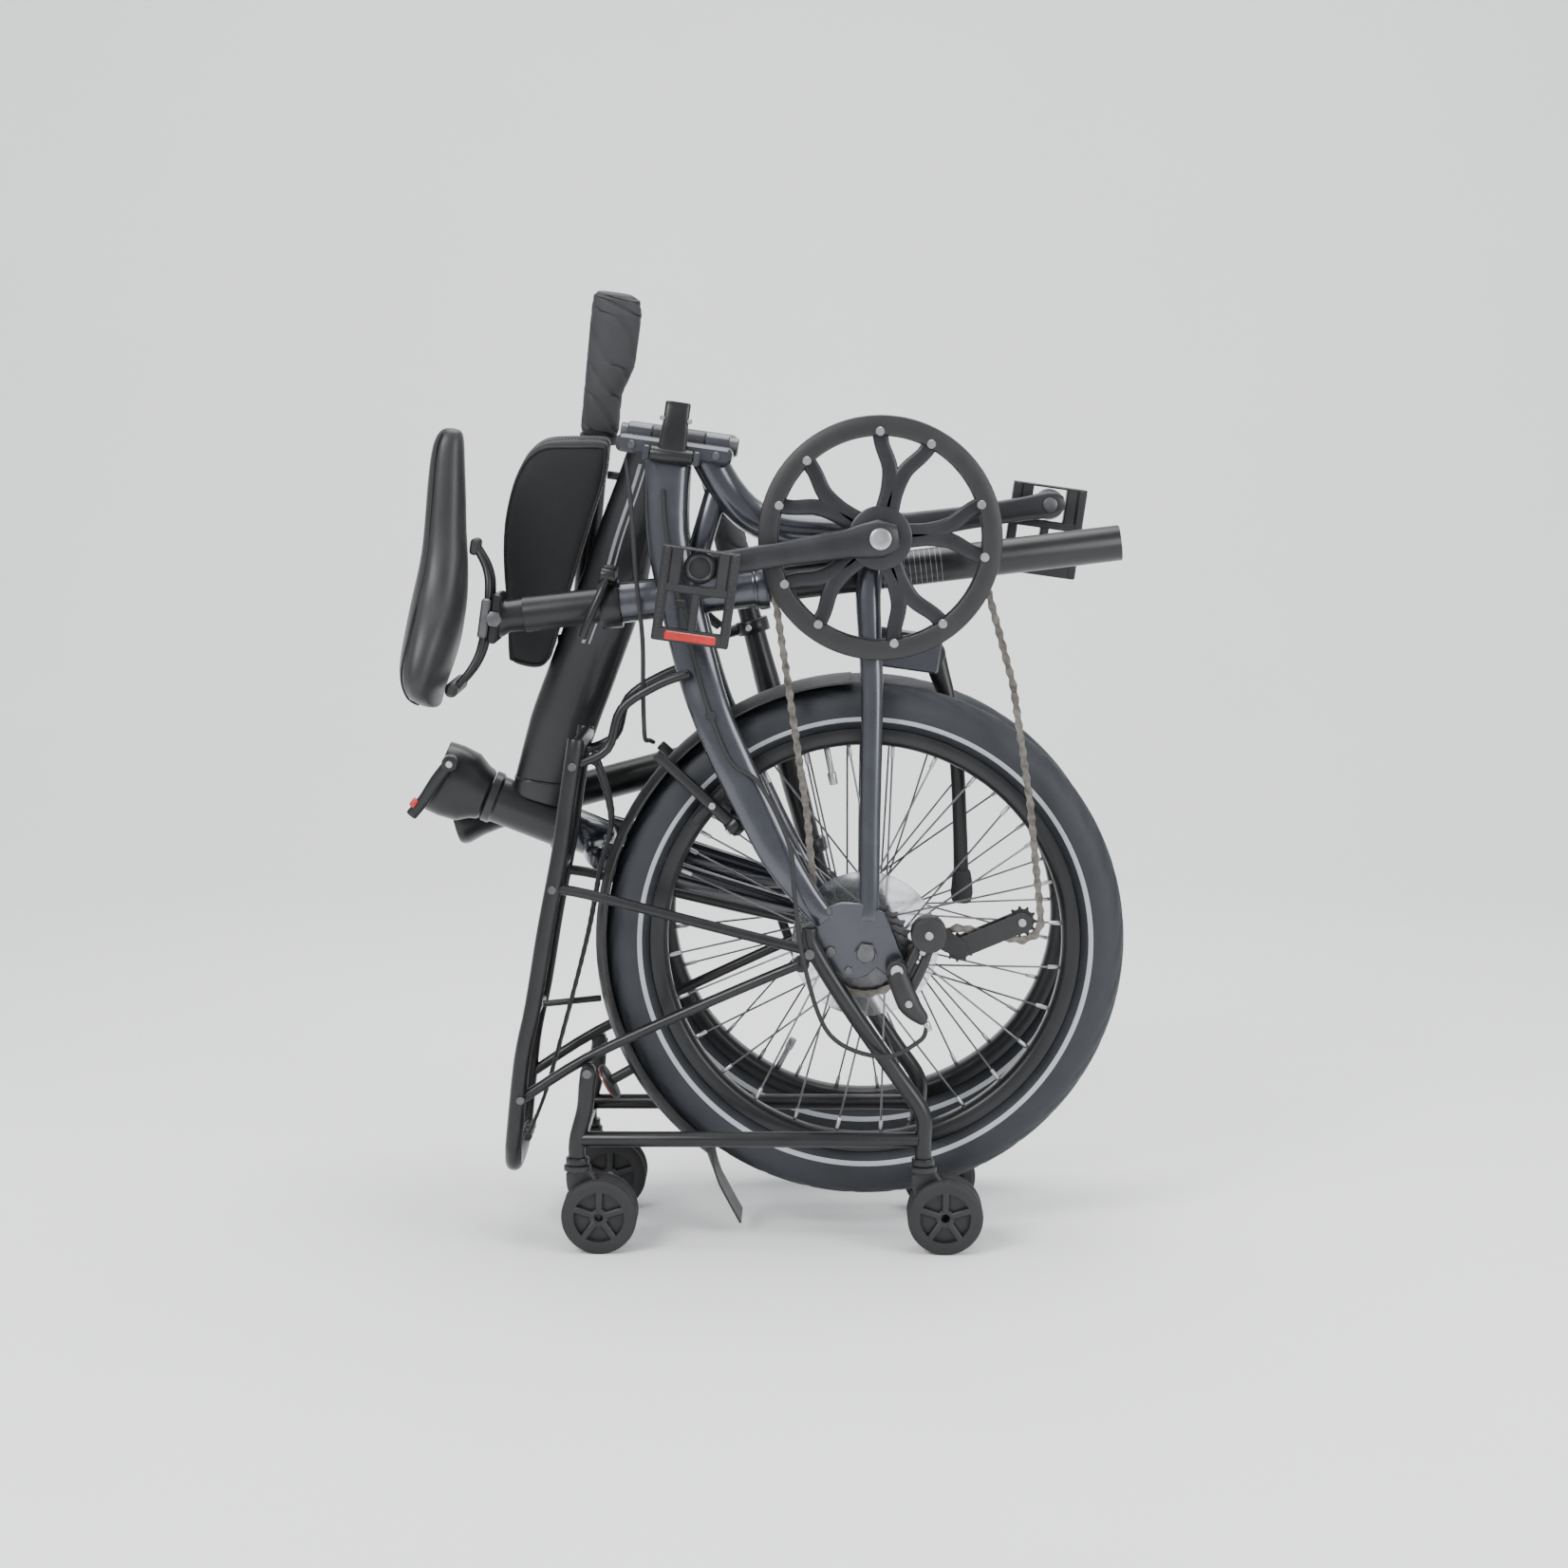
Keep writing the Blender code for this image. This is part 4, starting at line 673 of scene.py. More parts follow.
def rim(name, place, body, replaced):
    profile = [(206.8, -12.3), (205, -12.7), (196, -12.7), (192.4, -10.6), (190.2, -6), (190, 0),
               (190.2, 6),
               (192.4, 10.6), (196, 12.7), (205, 12.7), (206.8, 12.3)]
    Shape().turned(profile, (0, 0, 0), Y, 180).make(name, "satin", place, body, replaced,
                                                    slot="plastic")


def spoked_hub(name, place, body, replaced, left, right, flange, barrel):
    """The hub with its crossed spokes, their nipples at the rim and a valve."""
    hub = Shape()
    hub.turned([(7.3, left - 6), (barrel - 3, left - 6), (barrel - 2, left - 4), (barrel, left),
                (flange, left + 0.2),
                (flange + 0.8, left + 1.5), (flange, left + 2.9), (barrel, left + 7),
                (barrel - 3, left + 14),
                (barrel - 3, right - 14), (barrel, right - 7), (flange, right - 2.9),
                (flange + 0.8, right - 1.5),
                (flange, right - 0.2), (barrel, right), (barrel - 2, right + 4),
                (barrel - 3, right + 6),
                (7.3, right + 6)], (0, 0, 0), Y, 48)
    hub.make(name, "dark_steel", place, body, replaced, slot="steel")
    wires, nipples = Shape(), Shape()
    for k in range(SPOKES):
        side = left + 1.5 if k % 2 else right - 1.5
        angle = 2 * pi * k / SPOKES
        cross = (1.15 if (k // 2) % 2 else -1.15)
        start = angle + cross
        inner = Vector(((flange - 3) * cos(start), side + (1.2 if (k // 2) % 2 else -1.2),
                        (flange - 3) * sin(start)))
        outer = Vector((NIPPLE_CIRCLE * cos(angle), side * 0.06, NIPPLE_CIRCLE * sin(angle)))
        wires.rod(inner, outer, 1.0, 8, 0.1)
        nipples.rod(outer.lerp(inner, 0.06), outer, 2.0, 10, 0.3)
    angle = pi / SPOKES * 3
    out = Vector((cos(angle), 0, sin(angle)))
    nipples.rod(out * 160, out * 189.8, 3.0, 16)
    nipples.rod(out * 154, out * 166, 4.2, 16)
    wires.make(name + "_spokes", "dark_steel", place, body, slot="steel")
    nipples.make(name + "_nipples", "steel", place, body, slot="steel")


def wheels():
    front_place = FRONT @ moved((FRONT_AXLE, 0, 0))
    tyre("rear_tread", BIKE, "rear_wheel", "rear_tyre")
    tyre("front_tread", front_place, "front_wheel", "front_tyre")
    rim("rear_rim_ring", BIKE, "rear_wheel", "rear_rim")
    rim("front_rim_ring", front_place, "front_wheel", "front_rim")
    spoked_hub("rear_hub_shell", BIKE, "rear_wheel", "rear_hub", -20, 42, 24, 17)
    spoked_hub("front_hub_shell", front_place, "front_wheel", "front_hub", -29, 29, 20, 14)
    disc = Shape().turned([(30, -21.6), (66, -23.6), (70, -23.4), (70.4, -22.9), (66, -22.6),
                           (30, -20.8)],
                          (0, 0, 0), Y, 72)
    disc.make("spoke_guard_disc", "clear", BIKE, "rear_wheel", slot="plastic")
    axle = Shape().spindle([(8, -77), (9, -76), (9, -70.6), (8.4, -70), (5, -70), (5, -64.2),
                            (7, -64), (7, 64),
                            (5, 64.2), (5, 70), (8.4, 70), (9, 70.6), (9, 76), (8, 77)], (0, 0, 0),
                            Y, 32)
    for side in (-1, 1):
        low, high = sorted((side * 70.2, side * 75.5))
        axle.rod((0, low, 0), (0, high, 0), 10.5, 6, 0.5)
    axle.make("rear_axle_and_nuts", "dark_steel", BIKE, "frame", "rear_axle", slot="steel")
    sprockets = Shape()
    for k in range(6):
        teeth = 11 + 3 * k
        start = -60.5 + 4.6 * k
        radius = 23 + 4.2 * k
        outline = []
        for t in range(teeth):
            for part, reach in ((0.0, -2.4), (0.25, -1.6), (0.42, 1.6), (0.58, 1.6), (0.75, -1.6)):
                angle = 2 * pi * (t + part) / teeth
                outline.append(((radius + reach) * cos(angle), (radius + reach) * sin(angle)))
        rings = [[Vector((f, y, h)) for f, h in outline] for y in (start, start + 1.9)]
        sprockets.skin(rings)
    sprockets.turned([(7.3, -61), (14, -61), (15, -58), (17, -36), (21, -34), (21, -28.4),
                      (7.3, -28)], (0, 0, 0), Y, 40)
    sprockets.make("sprocket_stack", "dark_steel", BIKE, "sprockets", "cassette", slot="steel")


# ---------------------------------------------------------------- drivetrain
def chainring():
    centre = Vector((BB[0], 0, BB[1]))
    plane = RING_PLANE
    ring = Shape()
    teeth = 52
    outer, inner = [], []
    for t in range(teeth):
        for part, reach in ((0.0, 98.6), (0.3, 99.6), (0.43, 102.3), (0.57, 102.3), (0.7, 99.6)):
            angle = 2 * pi * (t + part) / teeth
            outer.append((reach, angle))
            inner.append((94.5, angle))
    loop = []
    for (r, angle), (q, _) in zip(outer, inner):
        out = Vector((cos(angle), 0, sin(angle)))
        loop.append([centre + out * q + Y * (plane - 1.4), centre + out * r + Y * (plane - 1.0),
                     centre + out * r + Y * (plane + 1.0), centre + out * q + Y * (plane + 1.4)])
    ring.skin(loop, closed=True)
    ring.make("chainring_teeth", "dark_steel", BIKE, "crankset", "chainring", slot="black_satin")
    spider, bolts = Shape(), Shape()
    spider.turned([(12.4, plane + 3), (29, plane + 3), (30, plane + 2), (30, -56), (28, -57),
                   (12.4, -57)], centre, Y, 48)
    for k in range(5):
        angle = radians(66 + 72 * k)

        def at(turn, radius, y=plane - 1.2):
            return centre + Vector((cos(angle + turn) * radius, y, sin(angle + turn) * radius))
        for turn in (-0.25, 0.25):
            path = smooth_path([at(turn * 0.2, 22), at(turn * 0.18, 44), at(turn * 0.45, 66),
                                at(turn * 0.9, 86),
                                at(turn, 99)], 5)
            spider.tube(path, spread([(11, 3), (9, 3), (7.6, 2.8), (7.2, 2.6), (7.6, 2.6)],
                                     len(path)), 20, Y, 0.75)
            bolt(bolts, at(turn, 99, plane - 3), (0, -1, 0), 4.2, 8.4)
    spider.make("chainring_spider", "crank", BIKE, "crankset", slot="black_satin")
    bolts.make("chainring_bolts", "steel", BIKE, "crankset", slot="steel")
    guard = Shape()
    guard.turned([(96.4, -60.4), (97.5, -61), (110, -60.2), (113.4, -58.6), (114.2, -56.8),
                  (113.6, -54.6),
                  (112.6, -54.1), (97, -54.1), (96, -55)], centre, Y, 120)
    guard.make("chain_guard_ring", "plastic", BIKE, "crankset", slot="plastic")


def cranks():
    centre = Vector((BB[0], 0, BB[1]))
    for side, name in ((-1, "right"), (1, "left")):
        angle = radians(REST_CRANK + (180 if side > 0 else 0))
        out = Vector((cos(angle), 0, sin(angle)))
        end = centre + out * CRANK_LENGTH
        stops = (-0.1, -0.05, 0.0, 0.09, 0.18, 0.5, 0.85, 0.95, 1.0, 1.05, 1.085)
        sizes = [(11, 6), (15.5, 8), (18, 8.5), (16.5, 8), (14, 7.5), (11.5, 6.5), (11.5, 6),
                 (12.6, 6), (13, 6),
                 (11, 5.6), (7, 5)]
        path = [centre.lerp(end, t) + Y * side * (66 + 7 * t) for t in stops]
        arm = Shape().tube(path, sizes, 32, Y, 0.8)
        if side < 0:
            arm.rod(centre + Y * -62, centre + Y * 70, 12, 32)
        arm.make(f"{name}_crank_arm", "crank", BIKE, "crankset", f"{name}_crank", slot="gunmetal")
        caps = Shape()
        caps.spindle([(10, side * 73), (10, side * 75.4), (8, side * 76.2), (4, side * 76.2)],
                     centre, Y, 32)
        caps.spindle([(4.6, side * 76), (4.6, side * 74)], centre, Y, 6)
        caps.turned([(7.2, side * 78), (9.5, side * 78), (9.5, side * 79.6), (7.2, side * 79.6)],
                    end, Y, 24)
        caps.make(f"{name}_crank_cap", "steel", BIKE, "crankset", slot="steel")
        pedal(side, name, end)


def pedal(side, name, end):
    spindle = Shape().rod((end.x, side * 65.5, end.z), (end.x, side * 83, end.z), 7, 24)
    spindle.spindle([(13.5, side * 81), (15, side * 82), (15, side * 88.6), (13.8, side * 89.5),
                     (8, side * 89.5)],
                    (end.x, 0, end.z), Y, 40)
    spindle.make(f"{name}_pedal_hub", "dark_steel", BIKE, f"{name}_pedal_spindle",
                 f"{name}_pedal_axle", slot="steel")
    cap = Shape().spindle([(10, side * 89.3), (10, side * 90.2), (8.6, side * 90.6),
                           (3, side * 90.6)],
                          (end.x, 0, end.z), Y, 32)
    cap.make(f"{name}_pedal_cap", "plastic", BIKE, f"{name}_pedal_spindle", slot="plastic")
    back, tip = end.x - 70, end.x + 18
    low, high = sorted((side * 86, side * 106))
    cage, grips, lights = Shape(), Shape(), Shape()
    for h in (end.z - 36, end.z + 27):
        cage.block((back, low, h), (tip, high, h + 9), 2)
    for f0, f1 in ((back, back + 12), (end.x - 24, end.x - 16.5), (tip - 2.4, tip)):
        cage.block((f0, low + 0.5, end.z - 36), (f1, high - 0.5, end.z + 36), 1)
    for h in (end.z - 27.5, end.z + 16.5):
        cage.block((end.x - 24, low + 1, h), (tip, high - 1, h + 11), 1.2)
    cage.block((back, low + 1.5, end.z - 4), (end.x - 16, high - 1.5, end.z + 4), 1.2)
    for k in range(7):
        f = back + 14 + 11 * k
        if f < tip - 4:
            for h in (end.z - 33.5, end.z + 29.5):
                outer = high - 0.5 if side > 0 else low - 0.7
                grips.block((f, outer, h), (f + 6, outer + 1.2, h + 4), 0.5)
    face = high - 2.2 if side > 0 else low - 0.2
    lights.block((back + 2, face + (0.6 if side > 0 else 0.0), end.z - 24),
                 (back + 10, face + 2.4, end.z + 24), 1)
    cage.make(f"{name}_pedal_body", "plastic", BIKE, f"{name}_pedal_cage", f"{name}_pedal",
              slot="plastic")
    grips.make(f"{name}_pedal_studs", "rubber", BIKE, f"{name}_pedal_cage", slot="plastic")
    lights.make(f"{name}_pedal_reflector", "lens", BIKE, f"{name}_pedal_cage", slot="plastic")


def chain():
    """The chain as links: pairs of waisted plates and rollers, all along its run."""
    plane = RING_PLANE
    path = arc(BB, 106, -104, 100, 60, plane)
    path += [Vector((240, plane + 1.5, 108)), Vector((120, plane + 3, 73))]
    path += arc((0, 0), 44, 104, 285, 30, plane + 4.6)
    path += arc(GUIDE_PULLEY, 18.5, 12, -14, 4, plane + 1.5)
    path += arc(TENSION_PULLEY, 18.5, 170, 282, 16, plane + 1)
    path += [Vector((160, plane + 0.5, -134)), Vector((270, plane, -101))]
    loop = path + [path[0]]
    lengths = [0.0]
    for a, b in zip(loop, loop[1:]):
        lengths.append(lengths[-1] + (b - a).length)
    count = 2 * round(lengths[-1] / 12.7 / 2)
    pitch = lengths[-1] / count

    def along(distance):
        distance %= lengths[-1]
        i = max(k for k in range(len(lengths)) if lengths[k] <= distance)
        i = min(i, len(loop) - 2)
        t = (distance - lengths[i]) / max(lengths[i + 1] - lengths[i], 1e-6)
        return loop[i].lerp(loop[i + 1], t)
    links = Shape()
    for k in range(count):
        a, b = along(k * pitch), along((k + 1) * pitch)
        middle = (a + b) / 2
        heading = atan2(b.z - a.z, b.x - a.x)
        half = (b - a).length / 2
        outline = []
        for turn, centre in ((-90, half), (90, -half)):
            for step in range(5):
                angle = radians(turn + 45 * step)
                outline.append((centre + 3.9 * cos(angle), 3.9 * sin(angle)))
            outline.append((0, 2.5 if turn == -90 else -2.5))
        turned = [(middle.x + u * cos(heading) - v * sin(heading),
                   middle.z + u * sin(heading) + v * cos(heading))
                  for u, v in outline]
        for offset in ((-3.1, -2.2), (2.2, 3.1)) if k % 2 else ((-2.1, -1.2), (1.2, 2.1)):
            rings = [[Vector((f, middle.y + y, h)) for f, h in turned] for y in offset]
            links.skin(rings)
        links.spindle([(2.0, -3.4), (2.0, -1.3), (3.4, -1.2), (3.4, 1.2), (2.0, 1.3), (2.0, 3.4)],
                      a, Y, 8)
    links.make("chain_links", "chain", BIKE, "frame", "chain", slot="chain")


def derailleur():
    body = Shape().rod(stood(28.8, -70, -13.7), stood(28.8, -92, -13.7), 10, 32, 1.5)
    path = smooth_path(stood_line([(28, -88, -14), (40, -90, -44), (52, -90, -58),
                                   (56.5, -90, -62)]), 5)
    body.tube(path, spread([(10, 7), (11, 8), (7, 6), (4, 4)], len(path)), 24)
    for shift in (-6.5, 6.5):
        path = smooth_path(stood_line([(34 + shift, -84, -36), (48 + shift, -82, -8),
                                       (59 + shift * 0.6, -80, 20)]), 5)
        body.tube(path, spread([(5, 6), (4.6, 6), (5, 6)], len(path)), 20, Y, 0.7)
    body.rod(stood(59, -66, 20), stood(59, -92, 20), 17, 40, 2.5)
    body.tube(stood_line([(34, -84, -36), (48, -82, -8)]), (9, 3), 16)
    body.make("derailleur_arms", "plastic", BIKE, "frame", "derailleur_body", slot="plastic")
    bolts = Shape()
    bolt(bolts, stood(28.8, -92, -13.7), (0, -1, 0), 6, 2.5)
    bolt(bolts, stood(59, -92, 20), (0, -1, 0), 4, 1.5)
    bolt(bolts, stood(40, -97.5, -44), (0, -1, 0), 3.5, 1.5)
    for x, z in ((36, -34), (53, 4)):
        bolt(bolts, stood(x, -90.2, z), (0, -1, 0), 3, 1.2)
    barrel = stood(56.5, -90, -62)
    bolts.rod(barrel, barrel + stood(3, 0, -9) * 1.0, 3.4, 16)
    bolts.make("derailleur_bolts", "steel", BIKE, "frame", slot="steel")
    guide, tension = GUIDE_PULLEY, TENSION_PULLEY
    cage = Shape()
    knee = stood(59, 0, 20)
    for low, high in ((-59.5, -57), (-42, -39.5)):
        cage.plate(stadium(guide, tension, 9.5, 9.5), low, high)
    cage.plate(stadium((knee.x, knee.z), guide, 11, 8.6), -61.2, -58.2)
    cage.rod(stood(59, -56.5, 20), stood(59, -65.6, 20), 15, 36)
    cage.make("derailleur_cage_plates", "plastic", BIKE, "frame", "derailleur_cage", slot="plastic")
    pins = Shape()
    for f, h in (guide, tension):
        bolt(pins, (f, -59, h), (0, -1, 0), 4, 1.8)
        pins.rod((f, -58, h), (f, -40, h), 3, 16)
    pins.make("pulley_bolts", "steel", BIKE, "frame", slot="steel")
    for name, body_name, (f, h) in (("guide_pulley", "guide_wheel", guide),
                                    ("tension_pulley", "tension_wheel", tension)):
        teeth = []
        for t in range(11):
            for part, reach in ((0.0, 11.8), (0.22, 12.2), (0.42, 14.8), (0.58, 14.8),
                                (0.78, 12.2)):
                angle = 2 * pi * (t + part) / 11
                teeth.append((reach, angle))
        loop = []
        for r, angle in teeth:
            out = Vector((cos(angle), 0, sin(angle)))
            at = Vector((f, 0, h))
            loop.append([at + out * 3.3 + Y * -51.6, at + out * 8 + Y * -51.6,
                         at + out * 8.8 + Y * -50.2,
                         at + out * r + Y * -49.9, at + out * r + Y * -48.1,
                         at + out * 8.8 + Y * -47.8,
                         at + out * 8 + Y * -46.4, at + out * 3.3 + Y * -46.4])
        Shape().skin(loop, closed=True).make(name + "_wheel", "plastic", BIKE, body_name, name,
                                             slot="plastic")


# ---------------------------------------------------------------- rack, stand and castors
def rack():
    run = [(-272.5, 201.8), (-282.6, 137.7), (-289.2, 92.5), (-303.4, 19.8), (-315.8, -53.3),
           (-327.2, -108.4),
           (-336, -190)]
    low = [(-337.5, -46, -208), (-338.4, -20, -214.9), (-338.4, 20, -214.9), (-337.5, 46, -208)]
    path = smooth_path(stood_line(run, -60), 4)[:-1] + smooth_path(
        [stood(-336, -60, -190), *stood_line(low), stood(-336, 60, -190)], 6)[:-1] + smooth_path(
        stood_line(run[::-1], 60), 4)
    tubes = Shape().tube(path, 8, 24, stood(1, 0, 0))
    tubes.rod(stood(-271.5, -60, 194), stood(-271.5, 60, 194), 7)
    for x, z in ((-292.5, 72), (-318.5, -68)):
        tubes.rod(stood(x, -60, z), stood(x, 60, z), 5.5)
    bolts = Shape()
    for side in (-1, 1):
        for points in (((-295, 60, 59), (-262.6, 61, 53.8), (-170, 67, 31), (-75, 74.5, 8),
                        (-52, 75, 3)),
                       ((-327, 60, -144), (-263.9, 61, -103.4), (-170, 67, -58), (-84, 74.5, -19),
                        (-61, 75, -9.8))):
            path = smooth_path([stood(x, side * y, z) for x, y, z in points], 4)
            tubes.tube(path, 5, 18)
        path = smooth_path([stood(x, side * y, z) for x, y,
                            z in ((-276, 59, 176), (-243.8, 56, 191.6),
                                                                 (-230.4, 52, 229), (-196, 51, 252),
                                                                 (-166, 51, 263))], 5)
        tubes.tube(path, 4.5, 18)
        for x, z in ((-52, 3), (-61, -9.8)):
            tubes.rod(stood(x, side * 70, z), stood(x, side * 79, z), 8)
        for x, z in ((-296, 59), (-328, -144), (-276, 176)):
            bolt(bolts, stood(x, side * 68, z), (0, side, 0), 4, 2.5)
        tubes.tube([stood(-52, side * 75, 3), stood(-61, side * 75, -9.8)], 5, 16)
    tubes.make("rack_tubes", "satin", BIKE, "frame", "rack", slot="black_satin")
    bolts.make("rack_bolts", "dark_steel", BIKE, "frame", slot="steel")


def trolley():
    tubes, bolts = Shape(), Shape()
    for side in (-1, 1):
        y = side * STAND_HALF
        tubes.tube(smooth_path(stood_line([(-262, -113), (-264, -128), (-266, -150),
                                           (CASTOR_LEFT, -180),
                                           (CASTOR_LEFT, -203)], y), 5), 8, 24)
        tubes.rod(stood(-270, y, -178.7), stood(50, y, -178.7), 7.5, 24)
        leg = [(-53, side * 88, 27), (-50, side * 88, 8), (-17.5, side * 88, -45.5),
               (28.9, y, -115), (54, y, -152.6),
               (CASTOR_RIGHT, y, -180), (CASTOR_RIGHT, y, -203)]
        tubes.tube(smooth_path(stood_line(leg), 5), 8, 24)
        tubes.rod(stood(-53, side * 80.5, 3), stood(-53, side * 88, 3), 9)
        tubes.rod(stood(-263, side * 66.3, -114), stood(-263, side * 84, -114), 7)
        for x in (CASTOR_LEFT, CASTOR_RIGHT):
            tubes.rod(stood(x, y, -196), stood(x, y, -203), 11, 24)
        bolt(bolts, stood(-53, side * 95.6, 3), (0, side, 0), 5, 3)
        bolt(bolts, stood(-263, side * 86, -114), (0, side, 0), 4.4, 2.5)
    tubes.rod(stood(-273.4, -STAND_HALF, -187), stood(-273.4, STAND_HALF, -187), 6.5)
    tubes.make("trolley_tubes", "satin", BIKE, "frame", "trolley_frame", slot="black_satin")
    bolts.make("trolley_bolts", "dark_steel", BIKE, "frame", slot="steel")


def castors():
    for name, x, side in (("rear_right", CASTOR_LEFT, -1), ("rear_left", CASTOR_LEFT, 1),
                          ("front_right", CASTOR_RIGHT, -1), ("front_left", CASTOR_RIGHT, 1)):
        y = side * STAND_HALF
        top = stood(x, y, CASTOR_TOP)
        hub = stood(x + CASTOR_TRAIL, y, CASTOR_AXLE)
        leg = Shape().spindle([(12, 0), (13, -0.8), (13, -5), (10, -6)], top, stood(0, 0, 1), 36)
        path = smooth_path([stood(x, y, CASTOR_TOP - 4), stood(x + 4, y, CASTOR_TOP - 18),
                            stood(x + 12, y, CASTOR_AXLE + 16), stood(x + 17, y, CASTOR_AXLE + 9)],
                            5)
        leg.tube(path, spread([(11, 5), (15, 5), (15, 5), (13, 4.6)], len(path)), 24, Y, 0.6)
        leg.make(f"{name}_castor_body", "plastic", BIKE, f"{name}_castor", f"{name}_castor_fork",
                 slot="plastic")
        tread, centre = Shape(), Shape()
        for a, b in ((-19, -6), (6, 19)):
            tread.turned([(24, a + 0.6), (31, a), (34.6, a + 1.6), (36, a + 4), (36, b - 4),
                          (34.6, b - 1.6),
                          (31, b), (24, b - 0.6)], hub, Y, 64)
            face = a if a < 0 else b
            sign = -1 if a < 0 else 1
            centre.turned([(4.2, face - sign * 2), (8.6, face - sign * 1.2), (8.6, face - sign * 6),
                           (24.4, face - sign * 6.4), (24.4, face - sign * 8.4),
                           (4.2, face - sign * 8.4)], hub, Y, 40)
            for k in range(5):
                angle = 2 * pi * k / 5 + 0.3
                out = stood(cos(angle), 0, sin(angle))
                inner = hub + out * 6 + Y * (face - sign * 3.6)
                outer = hub + out * 25 + Y * (face - sign * 3.0)
                centre.tube([inner, outer], (3.6, 2.8), 12, Y, 0.7, 0.4)
        centre.turned([(4.2, -12), (9, -12), (9, 12), (4.2, 12)], hub, Y, 24)
        centre.make(f"{name}_castor_hub", "plastic", BIKE, f"{name}_wheel", f"{name}_castor_wheel",
                    slot="plastic")
        tread.make(f"{name}_castor_tread", "rubber", BIKE, f"{name}_wheel", slot="rubber")


def fender():
    """The mudguard: an arched strip with rolled edges, its flap, bracket and reflector."""
    centres = []
    for k in range(41):
        angle = radians(11 + 141 * k / 40)
        centres.append(Vector((FENDER_RADIUS * cos(angle), 0, FENDER_RADIUS * sin(angle))))
    flap = smooth_path([centres[-1], Vector((-240, 0, 114)), Vector((-262, 0, 99)),
                        Vector((-288, 0, 80))], 5)[1:]
    path = centres + flap
    rings = []
    for i, p in enumerate(path):
        along = (path[min(i + 1, len(path) - 1)] - path[max(i - 1, 0)]).normalized()
        out = along.cross(Y)
        out = out if out.dot(p) > 0 else -out
        arch = 1.0 if i < 41 else max(0.0, 1 - (i - 40) / 8)
        ring = []
        for step in range(13):
            across = -1 + 2 * step / 12
            ring.append(p + Y * (27.6 * across) + out * (1.5 - arch * 7.0 * across * across + arch * 1.5))
        for step in range(12, -1, -1):
            across = -1 + 2 * step / 12
            ring.append(p + Y * (27.0 * across) + out * (-0.4 - arch * 7.0 * across * across + arch * 1.5))
        rings.append(ring)
    Shape().skin(rings).make("mudguard", "plastic", BIKE, "frame", "rear_fender", slot="plastic")
    bracket = Shape().rod(stood(-256, 10, -60), stood(-312.6, 10, -66), 3.2)
    aim = stood(-0.870, 0, -0.493)
    base = aim * FENDER_RADIUS
    bracket.spindle([(5, 0), (5, 24), (17, 25), (18, 26), (18, 29.4), (17, 30)], base, aim, 40)
    bracket.make("mudguard_bracket", "plastic", BIKE, "frame", slot="plastic")
    lens = Shape().spindle([(16.4, 29.6), (16.4, 31), (13, 32.2), (6, 32.8), (1, 33)], base, aim,
                           40)
    lens.make("rear_reflector_lens", "lens", BIKE, "frame", slot="plastic")


def straps():
    run = stood_line([(-258, 176), (-244, 120), (-255, 70), (-266.8, 9), (-285.8, -65.5),
                      (-309.7, -150),
                      (-326, -190)], 0)
    path = smooth_path(run, 14)
    bands = Shape()
    for y in (-20, 0, 20):
        rings = []
        for i, p in enumerate(path):
            along = (path[min(i + 1, len(path) - 1)] - path[max(i - 1, 0)]).normalized()
            out = along.cross(Y)
            thick = 1.5 + (0.35 if i % 2 else 0.0)
            rings.append([p + Y * (y + b) + out * a for a, b in section(thick, 4.6, 12, 0.5)])
        bands.skin(rings)
    bands.make("elastic_straps", "webbing", BIKE, "frame", "bungee_straps", slot="fabric")
    hooks = Shape()
    for end in (path[0], path[-1]):
        hooks.block(end - Vector((4, 26, 4)), end + Vector((4, 26, 4)), 1.5)
        for y in (-20, 0, 20):
            hooks.rod(end + Vector((-3, y, -3)), end + Vector((3, y, 6)), 3.4)
    hooks.make("strap_ends", "plastic", BIKE, "frame", slot="fabric")


def kickstand():
    y = 45
    points = [(281, y, -28), (262, y, -36), (236.2, y, -48), (182.4, y, -64.5), (120, y, -77),
              (68.3, y, -86)]
    path = smooth_path(points, 5)
    leg = Shape().tube(path, spread([(11, 6), (10, 6), (8, 6), (7, 6), (7, 6), (7.5, 6.5)],
                                    len(path)), 24)
    leg.rod((281, 34.4, -28), (281, 52, -28), 11, 32, 1.5)
    leg.make("stand_leg_tube", "satin", BIKE, "stand_leg", "kickstand_leg", slot="black_satin")
    foot = Shape().tube(smooth_path([(74, y, -85.6), (64, y, -87.4), (52, y, -89), (42, y, -90)],
                                    4),
                        spread([8.4, 10, 11, 9], 13), 24)
    foot.make("stand_foot", "rubber", BIKE, "stand_leg", slot="black_satin")


